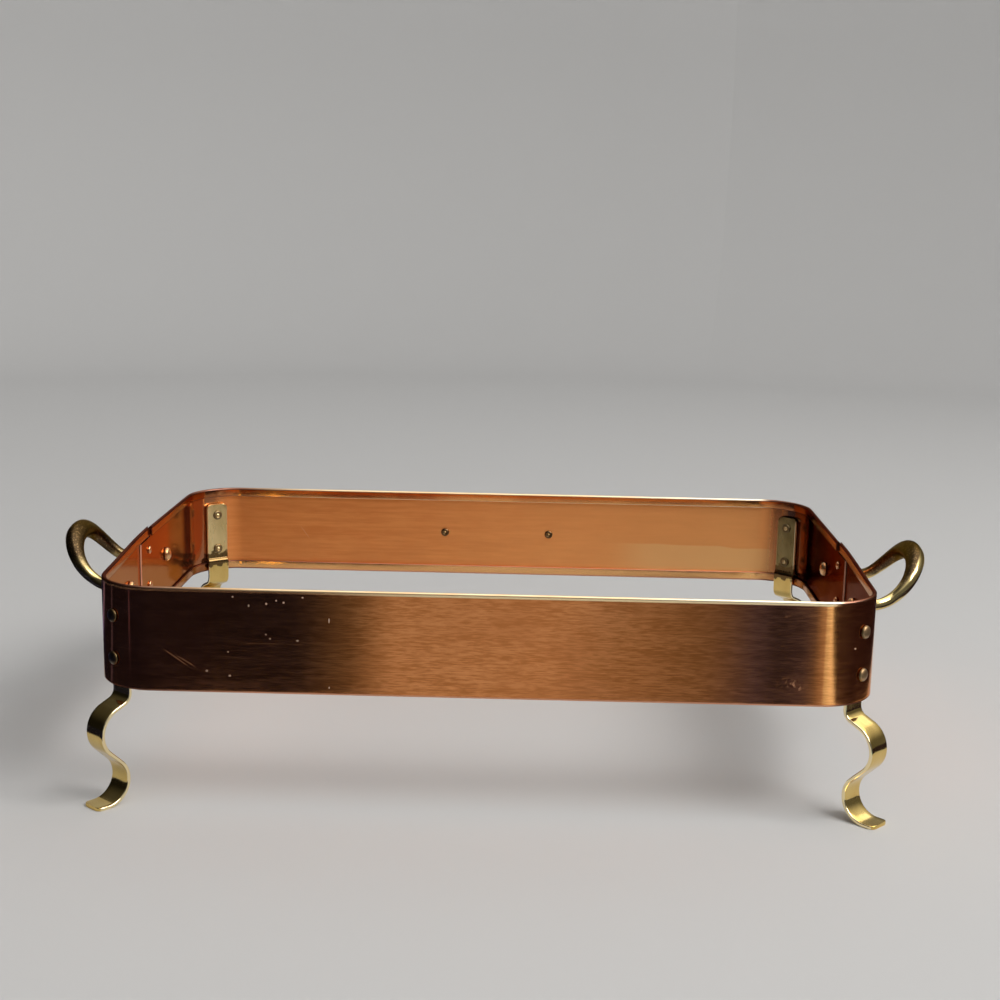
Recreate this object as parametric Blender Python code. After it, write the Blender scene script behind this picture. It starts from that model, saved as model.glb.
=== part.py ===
"""Serving stand for a rectangular dish: hemmed copper band, four brass legs, two handles.

Units are metres. +Z is up, +X runs along the long walls and the front wall faces -Y.
The origin is on the table, under the middle of the band.
"""
from math import atan2, ceil, copysign, cos, pi, radians, sin, sqrt, tan

import bmesh
import bpy
from mathutils import Matrix, Vector

# Clearance between pieces that touch on the real stand
CLEARANCE = 0.0003

# Band: two U-shaped halves of sheet, their top and bottom edges folded inward; the rear right
# corner stands out a little further than the others
BAND_LENGTH = 0.3422
BAND_WIDTH = 0.2263
BAND_HEIGHT = 0.047
CORNER_RADIUS = 0.0264
REAR_RIGHT_SPREAD = 0.0026
SHEET = 0.0008
HEM_GAP = 0.0003
LIP_HEIGHT = 0.0048
CORNER_STEPS = 10
FOLD_STEPS = 6

# Lap joint near the middle of each end wall: the rear half ends in a tongue that lies inside
# the front half, between its lips
END_CROWN = 0.0038
LAP_RIVET_OFFSET = 0.0028
LAP_RIVET_TO_EDGE = 0.0032
REAR_LAP_REACH = 0.012
FRONT_LIP_END = 0.0040
LIP_SPACING = 0.0022
LAP_MARGIN = 0.001
LAP_DRESSING = 0.00005

# Leg: a flat strap in the corner, bent to an S below the band; the hand-fitted legs differ in
# how far they face the end walls (0 degrees) or the long walls (90 degrees)
LEG_TURNS = {"front_left": radians(49), "front_right": radians(45),
             "rear_left": radians(55.5), "rear_right": radians(47.4)}
TABLE_TO_BAND = 0.0535
STRAP_WIDTH = 0.0121
STRAP_THICKNESS = 0.0016
STRAP_CHAMFER = 0.00025
STRAP_TOP_INSET = 0.0086
STRAP_TOP_ROUNDING = 0.0026
JOGGLE_RADIUS = 0.0018
JOGGLE_ANGLE = radians(55)
LEG_DROP = 0.0030
HIP_RADIUS = 0.0049
HIP_TURN = radians(67.5)
HIP_RUN = 0.0047
KNEE_RADIUS = 0.0115
KNEE_TURN = radians(113.5)
ANKLE_RADIUS = 0.0110
FOOT_RUN = 0.0052
FOOT_ROUNDING = 0.0025
ROUNDING_SHARES = (0.0, 0.1, 0.3, 0.6)
BEND_STEP = radians(9)

# Rivets; heights are above the lower edge of the band, insets below its upper edge
LEG_RIVET_INSET = 0.0148
LEG_RIVET_HEIGHTS = {"upper": BAND_HEIGHT - LEG_RIVET_INSET, "lower": 0.0129}
LEG_RIVET_HEAD = 0.0060
LEG_RIVET_TAIL = 0.0052
LEG_RIVET_SHANK = 0.0030
LAP_RIVET_INSET = 0.0113
LAP_RIVET_HEIGHTS = {"upper": BAND_HEIGHT - LAP_RIVET_INSET, "lower": 0.0176}
LAP_RIVET_HEAD = 0.0046
LAP_RIVET_TAIL = 0.0038
LAP_RIVET_SHANK = 0.0022
REAR_RIVET_SPACING = 0.059
REAR_RIVET_HEIGHT = 0.0238
REAR_RIVET_HEAD = 0.0050
REAR_RIVET_TAIL = 0.0045
REAR_RIVET_SHANK = 0.0026
HANDLE_RIVET_HEAD = 0.0072
HANDLE_RIVET_SHANK = 0.0024
HANDLE_RIVET_DEPTH = 0.0040
HEAD_FLATNESS = 0.26
RIM_FLATNESS = 0.05
TAIL_RING = 0.0008
TAIL_DISH = 0.0002
RIVET_STEPS = 14
DOME_STEPS = 3
RING_STEPS = 4

# Handle: a cast loop that leaves the end wall level and then rises; each bow leans a little
# along the end wall, by its own shift
HANDLE_PITCH = 0.072
HANDLE_HEIGHT = 0.0257
HANDLE_REACH = 0.0328
HANDLE_RISE = 0.0189
HANDLE_ROOT_RUN = 0.006
NECK_REACH = 0.0202
NECK_SPREAD = 0.0521
NECK_RISE = 0.0024
NECK_SLOPE = radians(38)
NECK_TAPER = radians(9)
NECK_PULL_IN = 0.0092
NECK_PULL_OUT = 0.0104
BOW_PULL = 0.0180
BOW_SHIFTS = {"left": 0.0040, "right": -0.0015}
HANDLE_TILT = radians(41)
BOW_WIDTH = 0.0097
BOW_THICKNESS = 0.0083
ROOT_SIZE = 0.0052
ROOT_LENGTH = 0.016
HANDLE_FOOT = 0.0084
HANDLE_FOOT_LENGTH = 0.0032
SECTION_POWER = 2.6
SECTION_POINTS = 14
NECK_STEPS = 9
BOW_STEPS = 13

# Sizes that follow from the ones above
HEM_THICKNESS = 2 * SHEET + HEM_GAP
STRAP_TOP = BAND_HEIGHT - STRAP_TOP_INSET
FRONT_LAP_REACH = LAP_RIVET_OFFSET + LAP_RIVET_TO_EDGE
REAR_LIP_END = FRONT_LIP_END + LIP_SPACING
TONGUE_INSET = LIP_HEIGHT + 2 * CLEARANCE
LAP_X = BAND_LENGTH / 2 + END_CROWN
REAR_LAP_X = LAP_X - SHEET - CLEARANCE

# How cutters overrun, and which edges stay sharp when shaded
CUT_MARGIN = 0.002
SHARP_ANGLE = radians(40)


def clear_scene():
    for item in list(bpy.data.objects):
        bpy.data.objects.remove(item, do_unlink=True)


def metal(name, colour, roughness):
    """A bare metal finish."""
    finish = bpy.data.materials.new(name)
    finish.use_nodes = True
    shader = finish.node_tree.nodes["Principled BSDF"]
    shader.inputs["Base Color"].default_value = (*colour, 1.0)
    shader.inputs["Roughness"].default_value = roughness
    shader.inputs["Metallic"].default_value = 1.0
    finish.diffuse_color = (*colour, 1.0)
    return finish


def mesh_from(name, form):
    """Turn a bmesh into a mesh with its faces pointing out, shaded smooth."""
    bmesh.ops.recalc_face_normals(form, faces=form.faces)
    mesh = bpy.data.meshes.new(name)
    form.to_mesh(mesh)
    form.free()
    mesh.shade_smooth()
    mesh.set_sharp_from_angle(angle=SHARP_ANGLE)
    return mesh


def place(name, mesh, finish, location=(0, 0, 0), turn=0.0, parent=None):
    """Add one piece of the stand."""
    piece = bpy.data.objects.new(name, mesh)
    bpy.context.scene.collection.objects.link(piece)
    piece.location = location
    piece.rotation_euler = (0, 0, turn)
    piece.parent = parent
    if not mesh.materials:
        mesh.materials.append(finish)
    return piece


def cut(piece, name, form):
    """Cut a shape out of a piece."""
    cutter = bpy.data.objects.new(name, mesh_from(name, form))
    bpy.context.scene.collection.objects.link(cutter)
    cutter.hide_render = True
    cutter.display_type = "WIRE"
    step = piece.modifiers.new(name, "BOOLEAN")
    step.operation = "DIFFERENCE"
    step.solver = "EXACT"
    step.object = cutter


def skin(form, rings):
    """Close a row of equal rings into one solid."""
    rows = [[form.verts.new(point) for point in ring] for ring in rings]
    count = len(rows[0])
    for row, following in zip(rows, rows[1:]):
        for i in range(count):
            j = (i + 1) % count
            form.faces.new((row[i], row[j], following[j], following[i]))
    form.faces.new(rows[0])
    form.faces.new(rows[-1])


def add_bar(form, outline, plane, low, high):
    """Extrude an outline; plane maps (a, b, depth) to a point."""
    skin(form, [[plane(a, b, depth) for a, b in outline] for depth in (low, high)])


def add_drill(form, point, direction, radius, before, behind):
    """A round cutter through a point, along a direction."""
    turn = direction.to_track_quat("Z", "Y").to_matrix().to_4x4()
    middle = point + direction * (before - behind) / 2
    bmesh.ops.create_cone(
        form, cap_ends=True, segments=RIVET_STEPS, radius1=radius, radius2=radius,
        depth=before + behind, matrix=Matrix.Translation(middle) @ turn)


def arc(centre, radius, start, end, steps):
    """Points on an arc in a plane."""
    angles = [start + (end - start) * i / steps for i in range(steps + 1)]
    return [(centre[0] + radius * cos(a), centre[1] + radius * sin(a)) for a in angles]


# Band


def band_bends(half):
    """Corner points of one half's outer face, seen from above and counterclockwise."""
    x, y = BAND_LENGTH / 2, BAND_WIDTH / 2
    if half == "front":
        knee = REAR_LAP_REACH + LAP_MARGIN
        left = [(-LAP_X, FRONT_LAP_REACH), (-LAP_X, -knee), (-x, -y)]
        right = [(x, -y), (LAP_X, -knee), (LAP_X, FRONT_LAP_REACH)]
        return [Vector(p) for p in left + right]
    knee = FRONT_LAP_REACH + LAP_MARGIN
    right = [(REAR_LAP_X, -REAR_LAP_REACH), (REAR_LAP_X, knee), (x + REAR_RIGHT_SPREAD, y)]
    left = [(-x, y), (-REAR_LAP_X, knee), (-REAR_LAP_X, -REAR_LAP_REACH)]
    return [Vector(p) for p in right + left]


def corner_arc(before, corner, after):
    """Centre, first and last angle of the round corner between two walls."""
    back = (before - corner).normalized()
    ahead = (after - corner).normalized()
    half_angle = back.angle(ahead) / 2
    middle = (back + ahead).normalized()
    centre = corner + middle * CORNER_RADIUS / sin(half_angle)
    outward = atan2(-middle.y, -middle.x)
    sweep = pi / 2 - half_angle
    return centre, outward - sweep, outward + sweep


def band_route(half):
    """The outer face of one half, seen from above."""
    bends = band_bends(half)
    route = bends[:2]
    for i in (2, 3):
        centre, first, last = corner_arc(bends[i - 1], bends[i], bends[i + 1])
        route += [Vector(p) for p in arc(centre, CORNER_RADIUS, first, last, CORNER_STEPS)]
    return route + bends[4:]


def inward_normals(route):
    """Mitred normals that point into the stand."""
    ways = [(b - a).normalized() for a, b in zip(route, route[1:])]
    lefts = [Vector((-way.y, way.x)) for way in ways]
    pairs = zip([lefts[0]] + lefts, lefts + [lefts[-1]])
    normals = []
    for one, other in pairs:
        middle = (one + other).normalized()
        normals.append(middle / middle.dot(one))
    return normals


def hem_profile():
    """Section of the band: (depth from the outer face, height above the lower edge)."""
    radius = HEM_THICKNESS / 2
    centre = (radius, BAND_HEIGHT - radius)
    lip_edge = BAND_HEIGHT - LIP_HEIGHT
    lip = [(HEM_THICKNESS, lip_edge), (HEM_THICKNESS - SHEET, lip_edge)]
    upper = arc(centre, radius, pi, 0, FOLD_STEPS) + lip + arc(centre, HEM_GAP / 2, 0, pi, 2)
    return upper + [(depth, BAND_HEIGHT - height) for depth, height in reversed(upper)]


def make_band(half, finish):
    route = band_route(half)
    profile = hem_profile()
    rings = []
    for point, normal in zip(route, inward_normals(route)):
        ring = [point + normal * depth for depth, height in profile]
        rings.append([(p.x, p.y, TABLE_TO_BAND + height) for p, (depth, height) in zip(ring, profile)])
    form = bmesh.new()
    skin(form, rings)
    name = half + "_band"
    return place(name, mesh_from(name, form), finish)


def lap_cutter(half):
    """What is trimmed off one half where it passes the other: its lips, and the tongue's edges."""
    form = bmesh.new()
    for side in (-1, 1):
        def plane(depth, height, y):
            return (side * (face - depth), y, TABLE_TO_BAND + height)
        inner = HEM_THICKNESS + CUT_MARGIN
        low, high = -CUT_MARGIN, BAND_HEIGHT + CUT_MARGIN
        bite = SHEET - LAP_DRESSING
        if half == "front":
            face = LAP_X
            outline = [(inner, low), (inner, high), (bite, high), (bite, low)]
            add_bar(form, outline, plane, FRONT_LIP_END, FRONT_LAP_REACH + CUT_MARGIN)
        else:
            face = REAR_LAP_X
            outer, bottom, top = -CUT_MARGIN, TONGUE_INSET, BAND_HEIGHT - TONGUE_INSET
            outline = [(inner, low), (inner, high), (outer, high), (outer, top),
                       (bite, top), (bite, bottom), (outer, bottom), (outer, low)]
            add_bar(form, outline, plane, -REAR_LAP_REACH - CUT_MARGIN, REAR_LIP_END)
    return form


def corner_frames(half):
    """Where the two legs of one half lie: point on the corner's outer face, and its direction."""
    bends = band_bends(half)
    frames = {}
    for i in (2, 3):
        centre = corner_arc(bends[i - 1], bends[i], bends[i + 1])[0]
        side = "left" if centre.x < 0 else "right"
        turn = LEG_TURNS[half + "_" + side]
        outward = Vector((copysign(cos(turn), centre.x), copysign(sin(turn), centre.y)))
        outer = centre + CORNER_RADIUS * outward
        frames[side] = (outer.to_3d(), atan2(outward.y, outward.x))
    return frames


def end_wall(half, side):
    """Outer point of an end wall at a handle's end, and the wall's outward direction."""
    y = HANDLE_PITCH / 2 * (-1 if half == "front" else 1)
    bends = [p for p in band_bends(half) if p.x * side > 0 and p.y * y > 0]
    knee, corner = sorted(bends, key=lambda p: abs(p.y))
    share = (y - knee.y) / (corner.y - knee.y)
    x = knee.x + (corner.x - knee.x) * share
    along = (corner - knee).normalized()
    outward = Vector((along.y, -along.x, 0))
    outward *= 1 if outward.x * side > 0 else -1
    return Vector((x, y, TABLE_TO_BAND + HANDLE_HEIGHT)), outward


def band_drill(half):
    """Every rivet hole of one half."""
    form = bmesh.new()
    reach = HEM_THICKNESS + CUT_MARGIN
    for outer, angle in corner_frames(half).values():
        outward = Vector((cos(angle), sin(angle), 0))
        for height in LEG_RIVET_HEIGHTS.values():
            point = outer + Vector((0, 0, TABLE_TO_BAND + height))
            add_drill(form, point, outward, LEG_RIVET_SHANK / 2 + CLEARANCE, CUT_MARGIN, reach)
    for side in (-1, 1):
        outward = Vector((side, 0, 0))
        for height in LAP_RIVET_HEIGHTS.values():
            point = Vector((side * LAP_X, LAP_RIVET_OFFSET, TABLE_TO_BAND + height))
            add_drill(form, point, outward, LAP_RIVET_SHANK / 2 + CLEARANCE, CUT_MARGIN, reach)
        point, outward = end_wall(half, side)
        add_drill(form, point, outward, HANDLE_RIVET_SHANK / 2 + CLEARANCE, CUT_MARGIN, reach)
        if half == "rear":
            point = Vector((side * REAR_RIVET_SPACING / 2, BAND_WIDTH / 2, TABLE_TO_BAND + REAR_RIVET_HEIGHT))
            add_drill(form, point, Vector((0, 1, 0)), REAR_RIVET_SHANK / 2 + CLEARANCE, CUT_MARGIN, reach)
    return form


# Legs; a leg's own frame has +X outward along the corner's diagonal, from the band's outer
# face, +Y along the strap's width, and its height measured from the table


def chord_depth(depth):
    """How deep a flat strap lies in the round corner, to clear a face at this depth."""
    radius = CORNER_RADIUS - depth
    chord = sqrt(radius ** 2 - (STRAP_WIDTH / 2) ** 2)
    return CORNER_RADIUS - chord + CLEARANCE


def strap_depths():
    """Depth of the strap's middle against the sheet, and where it passes the lower lip."""
    half = STRAP_THICKNESS / 2
    return chord_depth(SHEET) + half, chord_depth(HEM_THICKNESS) + half


class Trace:
    """A bent line in the leg's plane: (outward, height, direction) at each station."""

    def __init__(self, outward, height, heading):
        self.at = Vector((outward, height))
        self.heading = heading
        self.stations = [(self.at.copy(), heading)]

    def run(self, length):
        self.at += length * Vector((cos(self.heading), sin(self.heading)))
        self.stations.append((self.at.copy(), self.heading))

    def turn(self, radius, angle):
        steps = max(2, ceil(abs(angle) / BEND_STEP))
        part = angle / steps
        chord = 2 * radius * sin(abs(part) / 2)
        for _ in range(steps):
            middle = self.heading + part / 2
            self.at += chord * Vector((cos(middle), sin(middle)))
            self.heading += part
            self.stations.append((self.at.copy(), self.heading))


def leg_trace():
    """Middle of the strap from its top end to the tip of its foot."""
    upper, lower = strap_depths()
    slant = (lower - upper - 2 * JOGGLE_RADIUS * (1 - cos(JOGGLE_ANGLE))) / sin(JOGGLE_ANGLE)
    joggle_drop = 2 * JOGGLE_RADIUS * sin(JOGGLE_ANGLE) + slant * cos(JOGGLE_ANGLE)
    joggle_end = LIP_HEIGHT + CLEARANCE
    trace = Trace(-upper, TABLE_TO_BAND + STRAP_TOP, -pi / 2)
    trace.run(STRAP_TOP_ROUNDING)
    trace.run(STRAP_TOP - STRAP_TOP_ROUNDING - joggle_end - joggle_drop)
    trace.turn(JOGGLE_RADIUS, -JOGGLE_ANGLE)
    trace.run(slant)
    trace.turn(JOGGLE_RADIUS, JOGGLE_ANGLE)
    trace.run(joggle_end + LEG_DROP)
    trace.turn(HIP_RADIUS, HIP_TURN)
    trace.run(HIP_RUN)
    trace.turn(KNEE_RADIUS, -KNEE_TURN)
    last_turn = -trace.heading
    ankle_drop = ANKLE_RADIUS * (1 - cos(last_turn))
    trace.run((trace.at.y - ankle_drop - STRAP_THICKNESS / 2) / sin(last_turn))
    trace.turn(ANKLE_RADIUS, last_turn)
    trace.run(FOOT_RUN)
    return trace.stations


def end_stations(stations):
    """Add stations at both ends, where the strap's corners are rounded, and give each its width."""
    def rounded(radius, share):
        return radius - radius * sqrt(1 - (1 - share) ** 2)
    half = STRAP_WIDTH / 2
    top, heading = stations[0]
    down = Vector((cos(heading), sin(heading)))
    result = []
    for share in ROUNDING_SHARES:
        narrowing = rounded(STRAP_TOP_ROUNDING, share)
        result.append((top + down * STRAP_TOP_ROUNDING * share, heading, half - narrowing))
    result += [(at, heading, half) for at, heading in stations[1:-1]]
    tip, heading = stations[-1]
    back = -Vector((cos(heading), sin(heading)))
    for share in (1.0, *reversed(ROUNDING_SHARES)):
        narrowing = rounded(FOOT_ROUNDING, share)
        result.append((tip + back * FOOT_ROUNDING * share, heading, half - narrowing))
    return result


def leg_mesh():
    rings = []
    thick, c = STRAP_THICKNESS / 2, STRAP_CHAMFER
    for at, heading, half in end_stations(leg_trace()):
        normal = Vector((-sin(heading), cos(heading)))
        corners = [(half, c - thick), (half, thick - c), (half - c, thick), (c - half, thick),
                   (-half, thick - c), (-half, c - thick), (c - half, -thick), (half - c, -thick)]
        ring = []
        for across, depth in corners:
            point = at + normal * depth
            ring.append((point.x, across, point.y))
        rings.append(ring)
    form = bmesh.new()
    skin(form, rings)
    return mesh_from("leg", form)


def leg_drill(outer, angle):
    """The two rivet holes of a leg."""
    form = bmesh.new()
    outward = Vector((cos(angle), sin(angle), 0))
    upper = strap_depths()[0]
    for height in LEG_RIVET_HEIGHTS.values():
        point = outer - outward * upper + Vector((0, 0, TABLE_TO_BAND + height))
        reach = STRAP_THICKNESS / 2 + CLEARANCE
        add_drill(form, point, outward, LEG_RIVET_SHANK / 2 + CLEARANCE, reach, reach)
    return form


# Rivets; a rivet's own frame has +X out of its head, from the face that the head sits on


def lathe(outline):
    """Turn an outline of (along the axis, radius) from tip to tip."""
    form = bmesh.new()
    rows = []
    for along, radius in outline:
        if radius == 0:
            rows.append([form.verts.new((along, 0, 0))])
            continue
        angles = [2 * pi * i / RIVET_STEPS for i in range(RIVET_STEPS)]
        rows.append([form.verts.new((along, radius * cos(a), radius * sin(a))) for a in angles])
    for row, following in zip(rows, rows[1:]):
        for i in range(RIVET_STEPS):
            j = (i + 1) % RIVET_STEPS
            corners = [row[i % len(row)], row[j % len(row)],
                       following[j % len(following)], following[i % len(following)]]
            unique = list(dict.fromkeys(corners))
            form.faces.new(unique)
    return form


def dome(size, face):
    """A low head: from its middle to its rim, above a face."""
    radius = size / 2
    rim = RIM_FLATNESS * size
    rise = HEAD_FLATNESS * size - rim
    outline = [(face + rim + rise, 0.0)]
    for i in range(1, DOME_STEPS + 1):
        angle = pi / 2 * i / DOME_STEPS
        outline.append((face + rim + rise * cos(angle), radius * sin(angle)))
    return outline + [(face, radius)]


def rivet_mesh(name, head, shank, grip, tail=0.0, rolled=True):
    """A rivet through a grip: with a rolled ring, a second dome or a bare end behind it."""
    outline = dome(head, CLEARANCE) + [(CLEARANCE, shank / 2)]
    if not tail:
        return mesh_from(name, lathe(outline + [(-grip, shank / 2), (-grip, 0.0)]))
    face = -grip - CLEARANCE
    outline.append((face, shank / 2))
    if rolled:
        ring = tail / 2 - TAIL_RING
        bend = arc((face, ring), TAIL_RING, pi / 2, 3 * pi / 2, RING_STEPS)
        dish = face - TAIL_DISH
        outline += bend[:-1] + [(dish, ring - TAIL_RING), (dish, 0.0)]
    else:
        outline += [(2 * face - along, radius) for along, radius in reversed(dome(tail, face))]
    return mesh_from(name, lathe(outline))


def make_corner(half, side, outer, angle, parts):
    """A leg and its two rivets, on an empty at the corner."""
    corner = bpy.data.objects.new(half + "_" + side + "_corner", None)
    bpy.context.scene.collection.objects.link(corner)
    corner.location = outer
    corner.rotation_euler = (0, 0, angle)
    leg = place("leg_" + half + "_" + side, parts["leg"], parts["leg finish"], parent=corner)
    cut(leg, leg.name + "_holes", leg_drill(outer, angle))
    for level, height in LEG_RIVET_HEIGHTS.items():
        name = "leg_rivet_" + half + "_" + side + "_" + level
        at = (0, 0, TABLE_TO_BAND + height)
        place(name, parts["leg rivet"], parts["rivet finish"], at, parent=corner)


def make_legs():
    upper = strap_depths()[0]
    grip = upper + STRAP_THICKNESS / 2
    parts = {
        "leg": leg_mesh(),
        "leg finish": metal("leg brass", (0.78, 0.58, 0.22), 0.18),
        "leg rivet": rivet_mesh("leg_rivet", LEG_RIVET_HEAD, LEG_RIVET_SHANK, grip, LEG_RIVET_TAIL),
        "rivet finish": metal("leg rivet brass", (0.72, 0.55, 0.27), 0.28),
    }
    for half in ("front", "rear"):
        for side, (outer, angle) in corner_frames(half).items():
            make_corner(half, side, outer, angle, parts)


def make_lap_rivets():
    grip = 2 * SHEET + CLEARANCE
    mesh = rivet_mesh("lap_rivet", LAP_RIVET_HEAD, LAP_RIVET_SHANK, grip, LAP_RIVET_TAIL, rolled=False)
    finish = metal("lap rivet copper", (0.80, 0.42, 0.27), 0.30)
    for side, sign in (("left", -1), ("right", 1)):
        for level, height in LAP_RIVET_HEIGHTS.items():
            at = (sign * LAP_X, LAP_RIVET_OFFSET, TABLE_TO_BAND + height)
            place("lap_rivet_" + side + "_" + level, mesh, finish, at, 0 if sign > 0 else pi)


def make_rear_wall_rivets():
    mesh = rivet_mesh("rear_wall_rivet", REAR_RIVET_HEAD, REAR_RIVET_SHANK, SHEET, REAR_RIVET_TAIL)
    finish = metal("rear wall rivet brass", (0.66, 0.48, 0.26), 0.35)
    for side, sign in (("left", -1), ("right", 1)):
        at = (sign * REAR_RIVET_SPACING / 2, BAND_WIDTH / 2, TABLE_TO_BAND + REAR_RIVET_HEIGHT)
        place("rear_wall_rivet_" + side, mesh, finish, at, pi / 2)


# Handles


def bezier(points, steps):
    """Points on a cubic curve, the last one left out."""
    a, b, c, d = points
    result = []
    for i in range(steps):
        t = i / steps
        u = 1 - t
        result.append(a * u ** 3 + b * 3 * u * u * t + c * 3 * u * t * t + d * t ** 3)
    return result


def handle_route(side, shift):
    """Middle of the handle, from its front end to its rear end."""
    level = TABLE_TO_BAND + HANDLE_HEIGHT
    bow = Vector((side * (LAP_X + HANDLE_REACH), shift, level + HANDLE_RISE))
    route = []
    for half, sign in (("front", -1), ("rear", 1)):
        wall, outward = end_wall(half, side)
        root = wall + outward * CLEARANCE
        neck_y = (sign * NECK_SPREAD + shift) / 2
        neck = Vector((side * (LAP_X + NECK_REACH), neck_y, level + NECK_RISE))
        way = Vector((side, -sign * tan(NECK_TAPER), tan(NECK_SLOPE))).normalized()
        lower = bezier((root, root + outward * HANDLE_ROOT_RUN, neck - way * NECK_PULL_IN, neck), NECK_STEPS)
        pull = Vector((0, sign * BOW_PULL, 0))
        upper = bezier((neck, neck + way * NECK_PULL_OUT, bow + pull, bow), BOW_STEPS)
        branch = lower + upper
        route += branch + [bow] if sign < 0 else list(reversed(branch))
    return route


def ease(share):
    """A smooth step from 0 to 1."""
    share = min(1.0, max(0.0, share))
    return share * share * (3 - 2 * share)


def handle_sizes(distance, half_length):
    """Width and thickness of the handle at a distance from its nearer end."""
    swell = ease((distance - ROOT_LENGTH) / (half_length - ROOT_LENGTH))
    foot = (HANDLE_FOOT - ROOT_SIZE) * (1 - ease(distance / HANDLE_FOOT_LENGTH))
    width = ROOT_SIZE + (BOW_WIDTH - ROOT_SIZE) * swell + foot
    thickness = ROOT_SIZE + (BOW_THICKNESS - ROOT_SIZE) * swell + foot
    return width, thickness


def superellipse(width, thickness):
    """Section of the handle, fuller than an oval."""
    points = []
    for i in range(SECTION_POINTS):
        angle = 2 * pi * (i + 0.5) / SECTION_POINTS
        c, s = cos(angle), sin(angle)
        a = width / 2 * abs(c) ** (2 / SECTION_POWER) * (1 if c > 0 else -1)
        b = thickness / 2 * abs(s) ** (2 / SECTION_POWER) * (1 if s > 0 else -1)
        points.append((a, b))
    return points


def make_handle(side_name, side, finish):
    route = handle_route(side, BOW_SHIFTS[side_name])
    walls = [end_wall("front", side)[1], end_wall("rear", side)[1]]
    lengths = [0.0]
    for a, b in zip(route, route[1:]):
        lengths.append(lengths[-1] + (b - a).length)
    total = lengths[-1]
    lean = Vector((-side * sin(HANDLE_TILT), 0, cos(HANDLE_TILT)))
    rings = []
    for i, point in enumerate(route):
        if i == 0:
            way = walls[0]
        elif i == len(route) - 1:
            way = -walls[1]
        else:
            way = (route[i + 1] - route[i - 1]).normalized()
        up = (lean - way * lean.dot(way)).normalized()
        across = way.cross(up)
        width, thickness = handle_sizes(min(lengths[i], total - lengths[i]), total / 2)
        rings.append([point + across * a + up * b for a, b in superellipse(width, thickness)])
    form = bmesh.new()
    skin(form, rings)
    name = "handle_" + side_name
    handle = place(name, mesh_from(name, form), finish)
    holes = bmesh.new()
    for half in ("front", "rear"):
        wall, outward = end_wall(half, side)
        depth = HANDLE_RIVET_DEPTH + 2 * CLEARANCE
        add_drill(holes, wall, outward, HANDLE_RIVET_SHANK / 2 + CLEARANCE, depth, CUT_MARGIN)
    cut(handle, name + "_holes", holes)


def make_handles():
    finish = metal("handle brass", (0.52, 0.40, 0.18), 0.30)
    for side_name, side in (("left", -1), ("right", 1)):
        make_handle(side_name, side, finish)


def make_handle_rivets():
    grip = SHEET + CLEARANCE + HANDLE_RIVET_DEPTH
    mesh = rivet_mesh("handle_rivet", HANDLE_RIVET_HEAD, HANDLE_RIVET_SHANK, grip)
    finish = metal("handle rivet copper", (0.86, 0.50, 0.32), 0.20)
    for side_name, side in (("left", -1), ("right", 1)):
        for half in ("front", "rear"):
            wall, outward = end_wall(half, side)
            inner = wall - outward * SHEET
            turn = atan2(-outward.y, -outward.x)
            place("handle_rivet_" + side_name + "_" + half, mesh, finish, inner, turn)


def make_bands():
    finish = metal("band copper", (0.78, 0.38, 0.22), 0.30)
    for half in ("front", "rear"):
        band = make_band(half, finish)
        cut(band, band.name + "_lap", lap_cutter(half))
        cut(band, band.name + "_holes", band_drill(half))


def main():
    clear_scene()
    make_bands()
    make_legs()
    make_lap_rivets()
    make_rear_wall_rivets()
    make_handles()
    make_handle_rivets()


main()
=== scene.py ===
"""Looks of the rectangular serving stand in copper and brass.

Metres, +Z up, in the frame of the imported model. Every piece here stands where its CAD node
stands, with the finish that the photograph shows.
"""

from math import atan2, ceil, copysign, cos, pi, radians, sin, sqrt, tan

import bmesh
import bpy
from mathutils import Matrix, Vector, noise


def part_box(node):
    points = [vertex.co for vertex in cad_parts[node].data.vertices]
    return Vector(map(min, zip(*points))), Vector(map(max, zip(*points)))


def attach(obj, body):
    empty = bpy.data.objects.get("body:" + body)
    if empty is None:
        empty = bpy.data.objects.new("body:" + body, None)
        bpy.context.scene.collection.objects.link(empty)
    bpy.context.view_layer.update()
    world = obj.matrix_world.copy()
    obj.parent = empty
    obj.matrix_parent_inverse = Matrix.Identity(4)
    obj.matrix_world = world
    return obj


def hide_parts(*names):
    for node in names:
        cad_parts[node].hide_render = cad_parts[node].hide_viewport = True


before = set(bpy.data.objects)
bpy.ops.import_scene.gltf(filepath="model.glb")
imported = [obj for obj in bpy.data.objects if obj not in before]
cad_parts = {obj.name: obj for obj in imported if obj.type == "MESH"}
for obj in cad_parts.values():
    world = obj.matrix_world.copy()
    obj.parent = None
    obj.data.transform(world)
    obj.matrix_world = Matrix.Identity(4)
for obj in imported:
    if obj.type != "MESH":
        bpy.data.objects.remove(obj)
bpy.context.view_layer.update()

# Camera, fitted to the photograph
CAMERA_PLACE = Vector((0.0157, -0.7780, 0.2758))
CAMERA_YAW = radians(0.917)
CAMERA_PITCH = radians(11.375)
CAMERA_ROLL = radians(1.098)
LENS = 57.6
SENSOR = 36.0

# Band, from the frame: its outer faces, its height and where the halves pass each other
FRONT_LOW, FRONT_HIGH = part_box("front_band")
REAR_LOW, REAR_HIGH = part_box("rear_band")
TABLE_TO_BAND = FRONT_LOW.z
BAND_HEIGHT = FRONT_HIGH.z - FRONT_LOW.z
BAND_WIDTH = REAR_HIGH.y - FRONT_LOW.y
LAP_X = FRONT_HIGH.x
REAR_LAP_X = REAR_HIGH.x
FRONT_LAP_REACH = FRONT_HIGH.y
REAR_LAP_REACH = -REAR_LOW.y

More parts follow.
